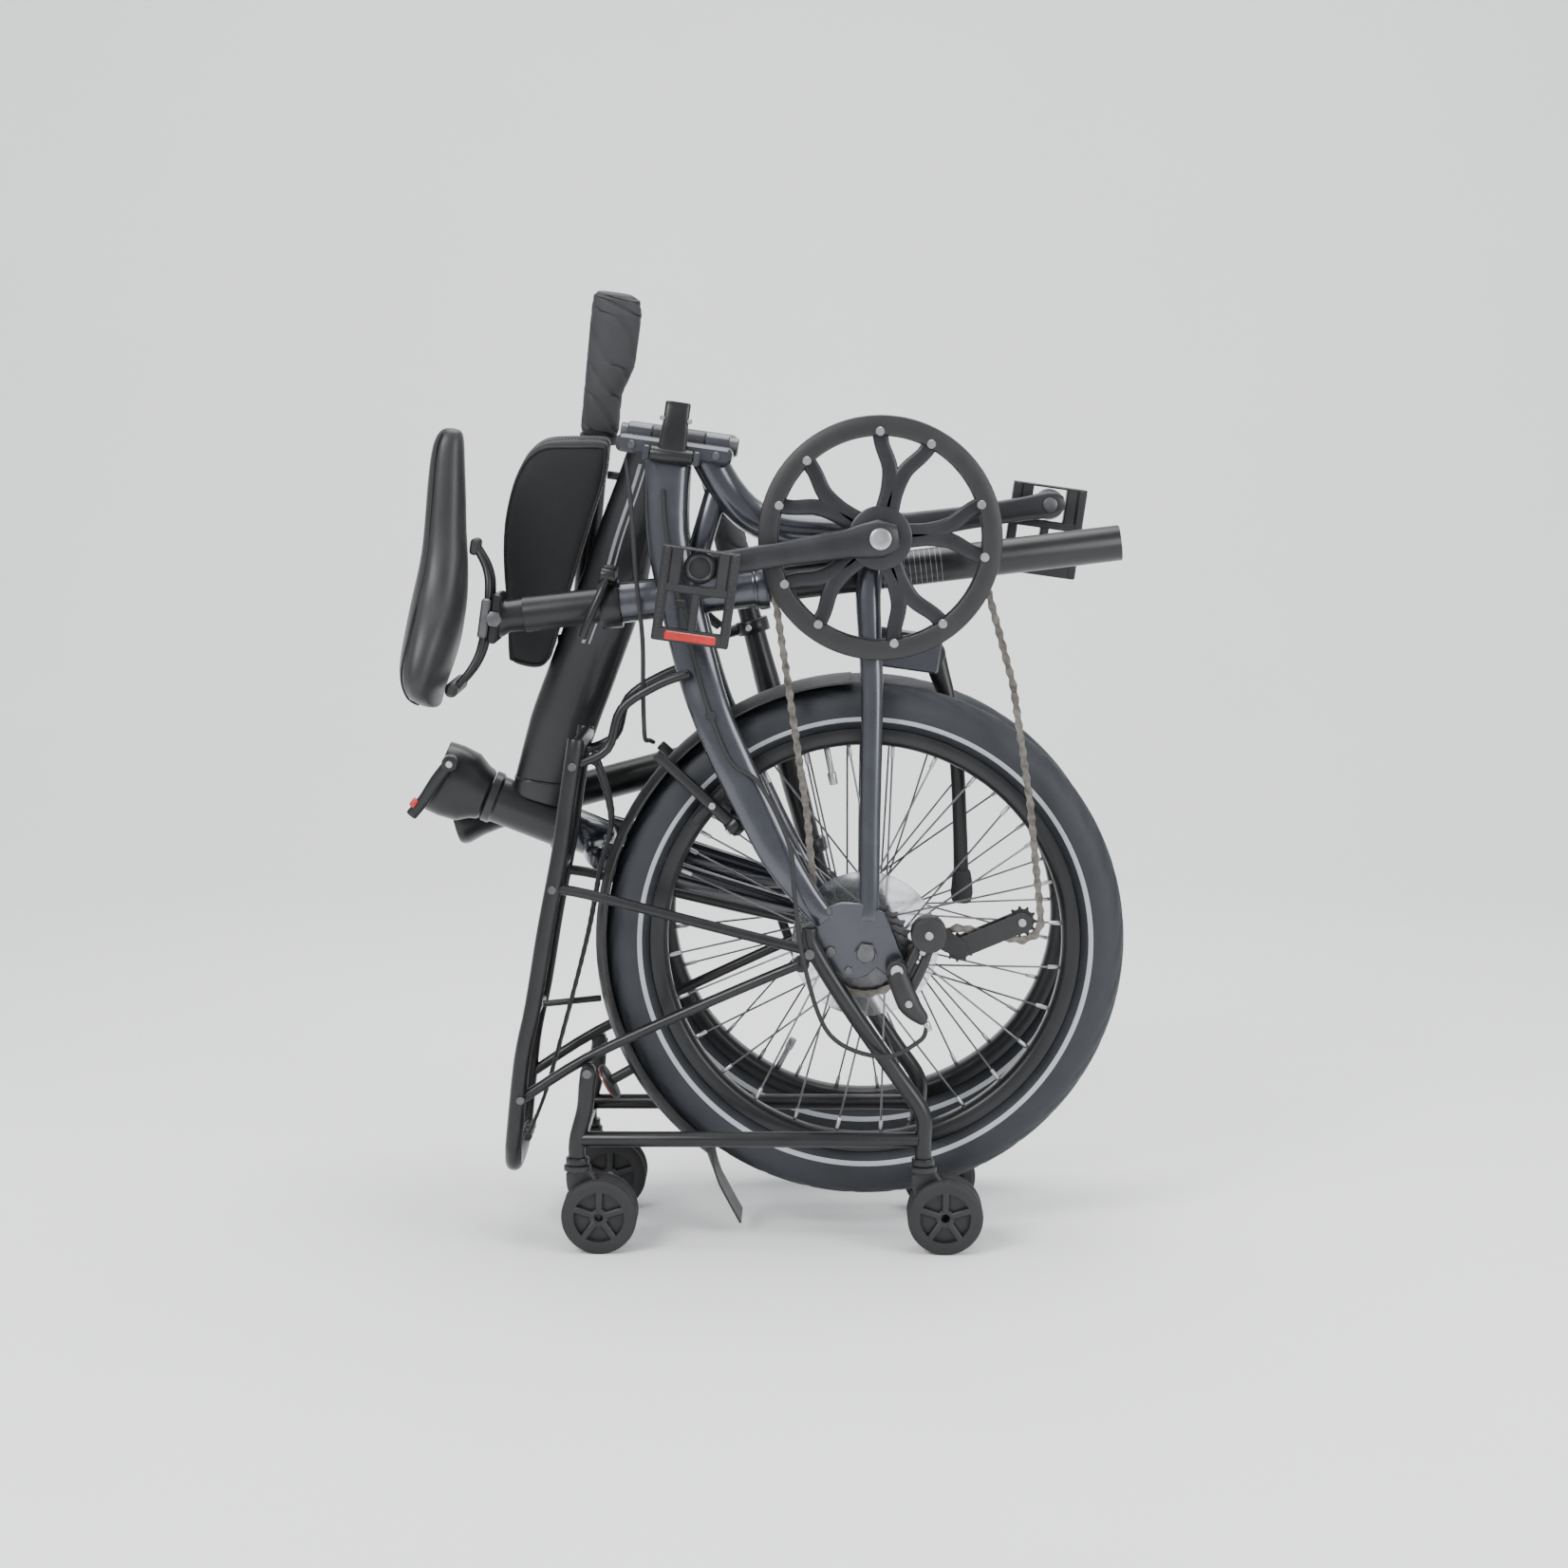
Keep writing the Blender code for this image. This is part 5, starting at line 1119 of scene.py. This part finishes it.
def brakes():
    along = Vector((98.0, 0, 140.0)).normalized()
    axis = Vector((-along.z, 0, along.x))
    for side, name in ((-1, "right"), (1, "left")):
        pivot = Vector((98.0, side * 38, 140.0))
        path = smooth_path([pivot - along * 10, pivot, pivot + along * 30, pivot + along * 60,
                            pivot + along * 101], 4)
        arm = Shape().tube(path, spread([(5, 4), (6.4, 4.5), (6, 4.2), (5.5, 4), (5, 3.6)],
                                        len(path)), 20, Y, 0.7)
        arm.rod(pivot - axis * 6, pivot + axis * 7, 8, 28)
        at = along * 199
        arm.rod(at + Y * side * 20, at + Y * side * 36, 4, 16)
        arm.make(f"{name}_brake_caliper", "satin", BIKE, f"{name}_brake", f"{name}_brake_arm",
                 slot="black_satin")
        pad = Shape().tube([at - axis * 26 + Y * side * 18.5, at + axis * 26 + Y * side * 18.5],
                           (4.6, 4.5), 20, Y, 0.6)
        pad.make(f"{name}_brake_pad", "rubber", BIKE, f"{name}_brake", slot="black_satin")
        bolts = Shape()
        bolt(bolts, pivot + axis * 7, axis, 4, 2)
        bolt(bolts, at + Y * side * 42, (0, side, 0), 3.6, 2)
        bolts.make(f"{name}_brake_bolts", "steel", BIKE, f"{name}_brake", slot="steel")


def cables():
    shift = stood_line([(57.2, -91, -67), (50, -94, -80), (15, -98, -94), (-34, -101, -72),
                        (-58, -101.5, -4.7),
                        (-67, -97, 60), (-72, -86, 105), (-100, -68, 160)])
    shift += [Vector(p) for p in ((161, -64, 151), (201, -58.5, 176), (243, -47.5, 196),
                                  (300, -40.5, 219),
                                  (363, -35.5, 241), (404, -33, 250))]
    Shape().tube(smooth_path(shift, 8), 2.2, 14).make("gear_cable", "rubber", BIKE, "frame",
                                                      "derailleur_cable",
                                                     slot="rubber")
    pull = [(158, 30, 229), (163, 0, 232), (167, -28, 235), (184, -38, 238), (215, -38, 243),
            (262, -37, 250),
            (320, -36, 264), (380, -28, 277), (428, -17, 289)]
    Shape().tube(smooth_path(pull, 8), 2.2, 14, H).make("rear_brake_cable", "rubber", BIKE, "frame",
                                                        "brake_cable",
                                                       slot="rubber")
    clips = Shape()
    for f, y, h in ((201, -56, 176), (300, -38.5, 219)):
        clips.block((f - 4, y - 5, h - 5), (f + 4, y + 4, h + 5), 1.2)
    clips.make("cable_clips", "plastic", BIKE, "frame", slot="rubber")


# ---------------------------------------------------------------- front half
def front_frame():
    centres = [(458, 0, 266), (505, 0, 274), (560, 0, 285), (620, 0, 294), (700, 0, 311.5),
               (760, 0, 325), (838, 0, 338)]
    sizes = [(25, 21), (27, 20), (29, 20), (33, 20), (33.5, 20), (33.5, 21), (30, 20)]
    path = smooth_path(centres, 5)
    halves = spread(sizes, len(path))
    tube = Shape().tube(path, halves, 48, Y, 0.75)
    tube.block((450.3, -30, 190), (467, 30, 300), 3)
    tube.block((457, 20, 219.5), (467, 44, 270.5), 1.5)
    tube.turned([(6.2, 219.5), (10.2, 219.5), (11, 220.3), (11, 269.7), (10.2, 270.5),
                 (6.2, 270.5)],
                (*HINGE, 0), H, 32)
    low = head_point(308)
    tube.turned([(13.2, 0), (25.6, 0), (26.5, 1), (26.5, 7.6), (24, 10), (24, 75), (26.5, 77.6),
                 (26.5, 84.4),
                 (25.6, 85.4), (13.2, 85.4)], low, HEAD_UP, 56)
    for f, a, b in ((502, 292, 311.4), (672, 330, 340.6)):
        tube.rod((f, 0, a), (f, 0, b), 4)
    tube.make("frame_front", "charcoal", FRONT, "front_half", "front_frame", slot="charcoal")
    clamps = Shape()
    for f in (680, 760):
        at = pull_point(f)
        clamps.turned([(11.2, -8), (15.4, -8), (16, -7), (16, 7), (15.4, 8), (11.2, 8)], at,
                      PULL_ALONG, 36)
        clamps.block((f - 8, -37, at.z - 9), (f + 8, -19, at.z + 9), 1.5)
        bolt(clamps, (f, -49, at.z + 15), (0, 0, 1), 3.6, 2.5)
    clamps.make("pull_handle_clamps", "plastic", FRONT, "front_half", slot="charcoal")
    weld = Shape()
    ring = []
    for a, b in section(30.5, 20.6, WELD_BEADS, 0.75):
        ring.append(Vector((820 - 2.4 * (abs(b) / 20), b, 334.5 + a)))
    rings = []
    for i in range(WELD_BEADS):
        along = (ring[(i + 1) % WELD_BEADS] - ring[i - 1]).normalized()
        side, up = basis(along)[1:]
        bead = 2.1 + 0.3 * (i % 2)
        rings.append([ring[i] + side * bead * cos(t * pi / 4) + up * bead * sin(t * pi / 4)
                      for t in range(8)])
    weld.skin(rings, closed=True)
    weld.make("head_tube_weld", "charcoal", FRONT, "front_half", slot="charcoal")
    stripes = Shape()
    for shift, width in ((9.5, 1.6), (3.5, 0.8)):
        for side in (-1, 1):
            rings = []
            for i in range(3, 19):
                half = halves[i][1]
                p = path[i]
                level = p.z + shift
                y = side * (half + 0.12)
                rings.append([Vector((p.x, y, level - width)),
                              Vector((p.x, y + side * 0.15, level - width)),
                              Vector((p.x, y + side * 0.15, level + width)),
                              Vector((p.x, y, level + width))])
            stripes.skin(rings)
    stripes.make("front_tube_stripes", "stripe", FRONT, "front_half", slot="charcoal")


def pull_point(f):
    return PULL_START.lerp(PULL_END, (PULL_START.x - f) / (PULL_START.x - PULL_END.x))


def grooved(shape, rings_at, sides=48, count=96, groove=1.3):
    """A grip lofted through ring centres and sizes, scored with diagonal grooves."""
    rings = []
    for i in range(count):
        place = i / (count - 1) * (len(rings_at) - 1)
        k = min(int(place), len(rings_at) - 2)
        t = place - k
        t = t * t * (3 - 2 * t)
        (p, a, b, u, v), (q, c, d, _, _) = rings_at[k], rings_at[k + 1]
        centre = p.lerp(q, t)
        half_a, half_b = a + (c - a) * t, b + (d - b) * t
        ring = []
        for s, (x, y) in enumerate(section(half_a, half_b, sides, 0.9)):
            cut = groove if (s + i) % 12 < 2 and 6 < i < count - 7 else 0.0
            ring.append(centre + u * x * (1 - cut / half_a) + v * y * (1 - cut / half_b))
        rings.append(ring)
    return shape.skin(rings)


def pull_handle():
    Shape().rod(pull_point(790), pull_point(345), 11, 32).make("pull_handle_tube", "satin", FRONT,
            "front_half",
                                                              "pull_handle", slot="black_satin")
    stations = ((472, 17, 15, 0), (466, 19, 17, 0), (430, 19, 17, 0), (400, 24, 16, -5),
                (350, 25, 15, -6),
                (336, 23, 13.5, -5), (332, 17, 11, -3))
    rings = [(pull_point(f) + H * shift, wide, thick, H, Y) for f, wide, thick, shift in stations]
    grooved(Shape(), rings).make("pull_handle_grip", "grip", FRONT, "front_half", "pull_grip",
                                 slot="grip")
    collar = Shape().turned([(11.1, -4), (18.4, -4), (19.2, -3), (19.2, 3), (18.4, 4), (11.1, 4)],
                            pull_point(476),
                            PULL_ALONG, 40)
    collar.make("pull_grip_collar", "plastic", FRONT, "front_half", slot="grip")


def bag():
    """The frame bag: a soft case pulled in at its zip, with piping round both faces."""
    outline = [(514.9, 400), (495, 393), (484.5, 386), (477, 377), (473.5, 366), (470, 342),
               (466.6, 319),
               (469, 313.2), (475, 312.2), (502.1, 312.4), (541.2, 319.8), (580, 326.5),
               (620, 333.8), (655, 339.2),
               (679.7, 343), (694.6, 346), (700.8, 353), (702, 364), (699.9, 380.9), (694, 385),
               (650, 391.2),
               (620, 397.4), (591.7, 402), (570, 404), (553.4, 404.3), (535, 403)]
    middle = Vector((585.0, 360.0))
    layers = ((-27.6, 0.55), (-27.2, 0.72), (-26.2, 0.86), (-23.6, 0.95), (-19.5, 0.992),
              (-16, 1.0), (-8, 0.996),
              (-3.4, 0.992), (-2.2, 0.975), (2.2, 0.975), (3.4, 0.992), (8, 0.996), (16, 1.0),
              (19.5, 0.992),
              (23.6, 0.95), (26.2, 0.86), (27.2, 0.72), (27.6, 0.55))
    rings = []
    for y, scale in layers:
        rings.append([Vector((middle.x + (f - middle.x) * scale, y,
                              middle.y + (h - middle.y) * scale))
                      for f, h in outline])
    case = Shape().skin(rings).make("frame_bag_case", "bag", FRONT, "front_half", "frame_bag",
                                    soften=True,
                                    slot="fabric")
    for side in (-1, 1):
        points = [Vector((middle.x + (f - middle.x) * 0.955, side * 23.4,
                          middle.y + (h - middle.y) * 0.955))
                  for f, h in outline]
        path = smooth_path(points + [points[0]], 4)
        Shape().tube(path, 1.3, 10, Y).make(f"bag_piping_{'right' if side < 0 else 'left'}",
                                            "rubber", FRONT,
                                            "front_half", slot="fabric")
    zipper, teeth = Shape(), Shape()
    points = [Vector((middle.x + (f - middle.x) * 0.985, 0,
                      middle.y + (h - middle.y) * 0.985)) for f, h in outline]
    path = smooth_path(points + [points[0]], 4)
    for i in range(0, len(path) - 1):
        p, q = path[i], path[i + 1]
        for t in (0.0, 0.5):
            at = p.lerp(q, t)
            teeth.rod(at - Y * 1.4, at + Y * 1.4, 0.9, 6, 0.2)
    teeth.make("bag_zip_teeth", "dark_steel", FRONT, "front_half", slot="fabric")
    puller = Vector((556, 2.4, 402.5))
    zipper.block(puller - Vector((5, 2.5, 2)), puller + Vector((5, -2.3, 1.6)), 0.6)
    zipper.tube([puller + Vector((0, -2.4, 1)), puller + Vector((8, -4.5, -6)),
                 puller + Vector((14, -9, -16))], (2.6, 0.9), 12)
    zipper.make("bag_zip_puller", "dark_steel", FRONT, "front_half", slot="fabric")


# ---------------------------------------------------------------- steering
def fork():
    steerer = Shape().rod(head_point(290), head_point(430), 13, 28)
    steerer.rod(head_point(270), head_point(307.6), 21, 40, 2)
    crown = [(878, -50, 268), (878, -30, 271), (878, 0, 271), (878, 30, 271), (878, 50, 268)]
    steerer.tube(smooth_path(crown, 4),
                 spread([(11, 12), (16, 13), (20, 13), (16, 13), (11, 12)], 17), 28,
                 Vector((1, 0, 0)), 0.8)
    steerer.tube(smooth_path([head_point(285), Vector((872, 0, 276)), Vector((878, 0, 268))], 3),
                 spread([(20, 20), (19, 16), (14, 12)], 7), 28, Y)
    for side in (-1, 1):
        run = [(878, 44, 270), (884, 43.5, 225), (892, 43, 180), (902, 42.5, 110), (907.5, 42, 60),
               (911.4, 42, 8)]
        path = smooth_path([(f, side * y, h) for f, y, h in run], 5)
        halves = spread([(19, 9), (19, 9), (18, 8), (15, 6), (12, 5), (9, 3.4)], len(path))
        steerer.tube(path, [(a, b) for a, b in halves], 28, Y, 0.85)
        low, high = sorted((side * 39, side * 45))
        steerer.plate(stadium((FRONT_AXLE, 0), (FRONT_AXLE - 1, 14), 13, 11), low, high)
    steerer.rod((FRONT_AXLE, -53, 0), (FRONT_AXLE, 53, 0), 7, 24)
    steerer.make("fork_and_steerer", "navy", FRONT, "steering", "fork", slot="navy")
    stripes = Shape()
    for side in (-1, 1):
        for back, wide in ((0.0, 0.9), (5.0, 0.45)):
            rings = []
            for k in range(12):
                h = 248 - 16 * k
                t = (270 - h) / 262
                y = side * (44 - 2 * t + (9 - 5.6 * t) * 0.82)
                front = 892 + 25 * t - back
                rings.append([Vector((front - wide, y - side * 0.3, h)),
                              Vector((front - wide, y + side * 0.35, h)),
                              Vector((front + wide, y + side * 0.3, h)),
                              Vector((front + wide, y - side * 0.3, h))])
            stripes.skin(rings)
    stripes.make("fork_stripes", "stripe", FRONT, "steering", slot="navy")
    nuts = Shape()
    for side in (-1, 1):
        low, high = sorted((side * 45.3, side * 51))
        nuts.rod((FRONT_AXLE, low, 0), (FRONT_AXLE, high, 0), 9.6, 6, 0.6)
        nuts.spindle([(6, side * 51), (6, side * 54), (4, side * 55)], (FRONT_AXLE, 0, 0), Y, 24)
    nuts.make("front_axle_nuts", "dark_steel", FRONT, "steering", slot="steel")


def handlepost_base():
    """The lower half of the folding stem joint, on the steerer."""
    base = Shape()
    heights = (391.6, 394, 400, 412, 430, 444.2)
    halves = [(24.5, 24.5), (26, 26), (28, 26), (36, 27), (38, 27), (37, 26)]
    base.tube([head_point(h) for h in heights], halves, 40, Y, 0.85, 1.2)
    base.rod(POST_PIVOT - POST_HINGE_AXIS * 12, POST_PIVOT + POST_HINGE_AXIS * 12, 9, 28)
    base.tube([head_point(424), POST_PIVOT - HEAD_UP * 3], [(15, 8), (9, 7)], 20)
    base.make("handlepost_base_casting", "satin", FRONT, "steering", "handlepost_base",
              slot="black_satin")
    details = Shape()
    details.turned([(13.2, 0), (24.5, 0), (25.5, 0.8), (25.5, 4.6), (24.5, 5.4), (13.2, 5.4)],
                   head_point(393.6),
                   HEAD_UP, 48)
    for h in (404, 420):
        at = head_point(h)
        bolt(details, at + Y * -24.5, (0, -1, 0), 4.2, 4)
    bolt(details, POST_PIVOT + POST_HINGE_AXIS * 11.6, POST_HINGE_AXIS, 4, 2)
    details.make("handlepost_base_bolts", "steel", FRONT, "steering", slot="steel")
    lever = Shape().tube(smooth_path([(804, 33, 429), (825, 34, 441), (848, 34, 452),
                                      (866, 33, 463)], 5),
                         spread([(6, 4.4), (6.4, 4), (6, 3.6), (6, 4)], 16), 24, Y, 0.8)
    lever.rod((806, 27.4, 430), (806, 38, 430), 8, 28)
    lever.make("handlepost_lever", "satin", FRONT, "post_latch", "handlepost_latch",
               slot="black_satin")
    button = Shape().spindle([(5, 0), (5, 4.2), (4.2, 5.4), (2, 5.8)], (853, 34.5, 459),
                             (-0.5, 0, 0.86), 24)
    button.make("handlepost_release_button", "red", FRONT, "post_latch", slot="black_satin")
    pivot_bolt = Shape()
    bolt(pivot_bolt, (806, 38, 430), (0, 1, 0), 3.6, 2)
    pivot_bolt.make("handlepost_lever_bolt", "steel", FRONT, "post_latch", slot="steel")


def handlepost():
    post = Shape()
    low = POST_FOOT + HEAD_UP * 0.8
    foot = [low, low + HEAD_UP * 4, POST_FOOT + HEAD_UP * 10, POST_FOOT + HEAD_UP * 26,
            POST_FOOT + HEAD_UP * 40,
            POST_FOOT + HEAD_UP * 52]
    post.tube(foot, [(28.4, 22.4), (30, 24), (30, 24), (24, 20), (18.4, 18.2), (17.6, 17.6)], 40, Y,
              0.9, 1.0)
    post.tube([POST_FOOT + HEAD_UP * k for k in (38, 120, 230, 336)], [17.8, 17.4, 17, 16.5], 36)
    arm = smooth_path([POST_PIVOT + POST_HINGE_AXIS * 20 + HEAD_UP * 3,
                       POST_PIVOT + POST_HINGE_AXIS * 12
                       + HEAD_UP * 24, POST_FOOT + HEAD_UP * 30], 4)
    post.tube(arm, spread([(8, 6), (10, 7), (10, 8)], len(arm)), 20)
    post.rod(POST_PIVOT + POST_HINGE_AXIS * 12.4, POST_PIVOT + POST_HINGE_AXIS * 25, 9, 28)
    post.tube([BAR - Y * 24, BAR - Y * 20, BAR + Y * 20, BAR + Y * 24], [19, 20, 20, 19], 40,
              HEAD_UP)
    post.make("handlepost_tube", "satin", POST, "post", "handlepost", slot="black_satin")
    details = Shape()
    for side in (-1, 1):
        for turn in (-1, 1):
            at = BAR + Y * side * 15 + Vector((cos(radians(HEAD_LEAN)), 0,
                                               sin(radians(HEAD_LEAN)))) * 20.5
            at += HEAD_UP * turn * 9
            bolt(details, at, (cos(radians(HEAD_LEAN)), 0, sin(radians(HEAD_LEAN))), 3.2, 2.4)
    collar = POST_FOOT + HEAD_UP * 300
    details.turned([(16.9, -6), (19, -6), (19.6, -5), (19.6, 5), (19, 6), (16.9, 6)], collar,
                   HEAD_UP, 40)
    details.make("handlepost_bolts", "steel", POST, "post", slot="steel")


def handlebar():
    bar = Shape()
    at = [-286, -220, -150, -120, -80, -64, -45, -26, 26, 45, 64, 80, 120, 150, 220, 286]
    radii = [11, 11, 11, 11.2, 12, 12.6, 13, 13, 13, 13, 12.6, 12, 11.2, 11, 11, 11]
    bar.tube([BAR + Y * y for y in at], radii, 32, H)
    for side in (-1, 1):
        s = side
        path = smooth_path([BAR + Vector((3, s * 118, -12)), BAR + Vector((5, s * 118, -22)),
                            BAR + Vector((8, s * 118, -31))], 3)
        bar.tube(path, spread([(7, 6), (7, 6), (7, 6.4)], len(path)), 20)
        bar.turned([(11.1, s * 118 - 7), (16.2, s * 118 - 7), (17, s * 118 - 6), (17, s * 118 + 6),
                    (16.2, s * 118 + 7), (11.1, s * 118 + 7)], BAR, Y, 36)
    bar.make("handlebar_tube", "satin", POST, "post", "handlebar", slot="black_satin")
    details = Shape()
    for side in (-1, 1):
        bolt(details, BAR + Vector((17, side * 118, 0)), (1, 0, 0), 3.2, 2)
    details.make("lever_clamp_bolts", "steel", POST, "post", slot="steel")
    for side, name in ((-1, "right"), (1, "left")):
        forward = Vector((1, 0, 0))
        stations = ((158, 15, 15, 0), (162, 17, 17, 0), (200, 16.5, 16.5, 0), (235, 22, 15, -6),
                    (275, 24, 14, -9),
                    (290, 21, 12, -7), (293, 15, 8, -4))
        rings = [(BAR + Y * side * y + forward * shift, wide, thick, forward, H) for y, wide, thick,
                 shift in stations]
        grooved(Shape(), rings).make(f"{name}_handlebar_grip", "grip", POST, "post", f"{name}_grip",
                                             slot="grip")
        collar = Shape().turned([(11.2, side * 154 - 4), (16.2, side * 154 - 4),
                                 (17, side * 154 - 3),
                                 (17, side * 154 + 3), (16.2, side * 154 + 4),
                                 (11.2, side * 154 + 4)], BAR, Y, 36)
        collar.make(f"{name}_grip_collar", "plastic", POST, "post", slot="grip")
        hinge = BAR + Vector((9, side * 126, -31))
        path = smooth_path([hinge, hinge + Vector((2, side * 20, -12)),
                            hinge + Vector((4, side * 60, -16)),
                            hinge + Vector((3, side * 105, -10))], 6)
        blade = Shape().tube(path, spread([(5, 3.5), (5.4, 3.6), (5.2, 3.2), (5, 4)], len(path)),
                             20, Vector((1, 0, 0)))
        blade.make(f"{name}_brake_lever_blade", "satin", POST, f"{name}_lever",
                   f"{name}_brake_lever",
                   slot="black_satin")
        pin = Shape()
        bolt(pin, hinge + Vector((-5.4, 0, 0)), (-1, 0, 0), 2.6, 1.2)
        pin.make(f"{name}_brake_lever_pin", "steel", POST, f"{name}_lever", slot="steel")


# ---------------------------------------------------------------- everything
rear_frame()
hinge_parts()
seat_parts()
saddle_rails()
saddle()
wheels()
chainring()
cranks()
chain()
derailleur()
rack()
trolley()
castors()
fender()
straps()
kickstand()
brakes()
cables()
front_frame()
pull_handle()
bag()
fork()
handlepost_base()
handlepost()
handlebar()


# ---------------------------------------------------------------- stage, lights and camera
def studio():
    """A pale sweep behind and under the bike, three soft lamps and a pale world."""
    half, deep, rise = 4.0, 3.2, 3.4
    profile = [(-3.6, 0.0), (deep - 1.2, 0.0)]
    profile += [(deep - 1.2 + 1.2 * sin(radians(a)), 1.2 - 1.2 * cos(radians(a))) for a in range(10,
            90, 10)]
    profile += [(deep, 1.2), (deep, rise)]
    mesh = bpy.data.meshes.new("studio_sweep")
    places = [(x, y, z) for y, z in profile for x in (-half, half)]
    mesh.from_pydata(places, [], [(2 * i, 2 * i + 1, 2 * i + 3,
                                   2 * i + 2) for i in range(len(profile) - 1)])
    mesh.materials.append(surface("studio_paper", (0.90, 0.905, 0.91), 0.8, vary=0.012, bump=0.02,
                                  patches=3.0))
    mesh.shade_smooth()
    sweep = bpy.data.objects.new("studio_sweep", mesh)
    bpy.context.scene.collection.objects.link(sweep)
    for name, place, size, power, aim in (("key", (-1.6, -2.2, 2.3), 1.4, 85, (0.0, 0.0, 0.4)),
                                          ("fill", (2.2, -1.7, 1.3), 1.6, 48, (0.0, 0.0, 0.4)),
                                          ("top", (0.2, 0.5, 3.0), 2.6, 90, (0.0, 0.0, 0.3))):
        lamp = bpy.data.lights.new(name, "AREA")
        lamp.shape = "DISK"
        lamp.size = size
        lamp.energy = power
        made = bpy.data.objects.new(name, lamp)
        made.location = place
        made.rotation_euler = (Vector(aim) - Vector(place)).to_track_quat("-Z", "Y").to_euler()
        bpy.context.scene.collection.objects.link(made)
    world = bpy.data.worlds.new("pale_room")
    world.use_nodes = True
    world.node_tree.nodes["Background"].inputs["Color"].default_value = (0.93, 0.95, 0.98, 1)
    world.node_tree.nodes["Background"].inputs["Strength"].default_value = 0.85
    bpy.context.scene.world = world


def camera():
    target = Vector((26.8, -74.9, 438.2)) * MM
    away = 2.97
    pitch, yaw = radians(7.4), radians(-0.7)
    lens = bpy.data.cameras.new("camera")
    lens.lens = 71
    lens.sensor_width = 36
    made = bpy.data.objects.new("camera", lens)
    made.location = target + Vector((away * cos(pitch) * sin(-yaw), -away * cos(pitch) * cos(yaw),
                                     away * sin(pitch)))
    made.rotation_euler = (target - made.location).to_track_quat("-Z", "Y").to_euler()
    bpy.context.scene.collection.objects.link(made)
    bpy.context.scene.camera = made


studio()
camera()
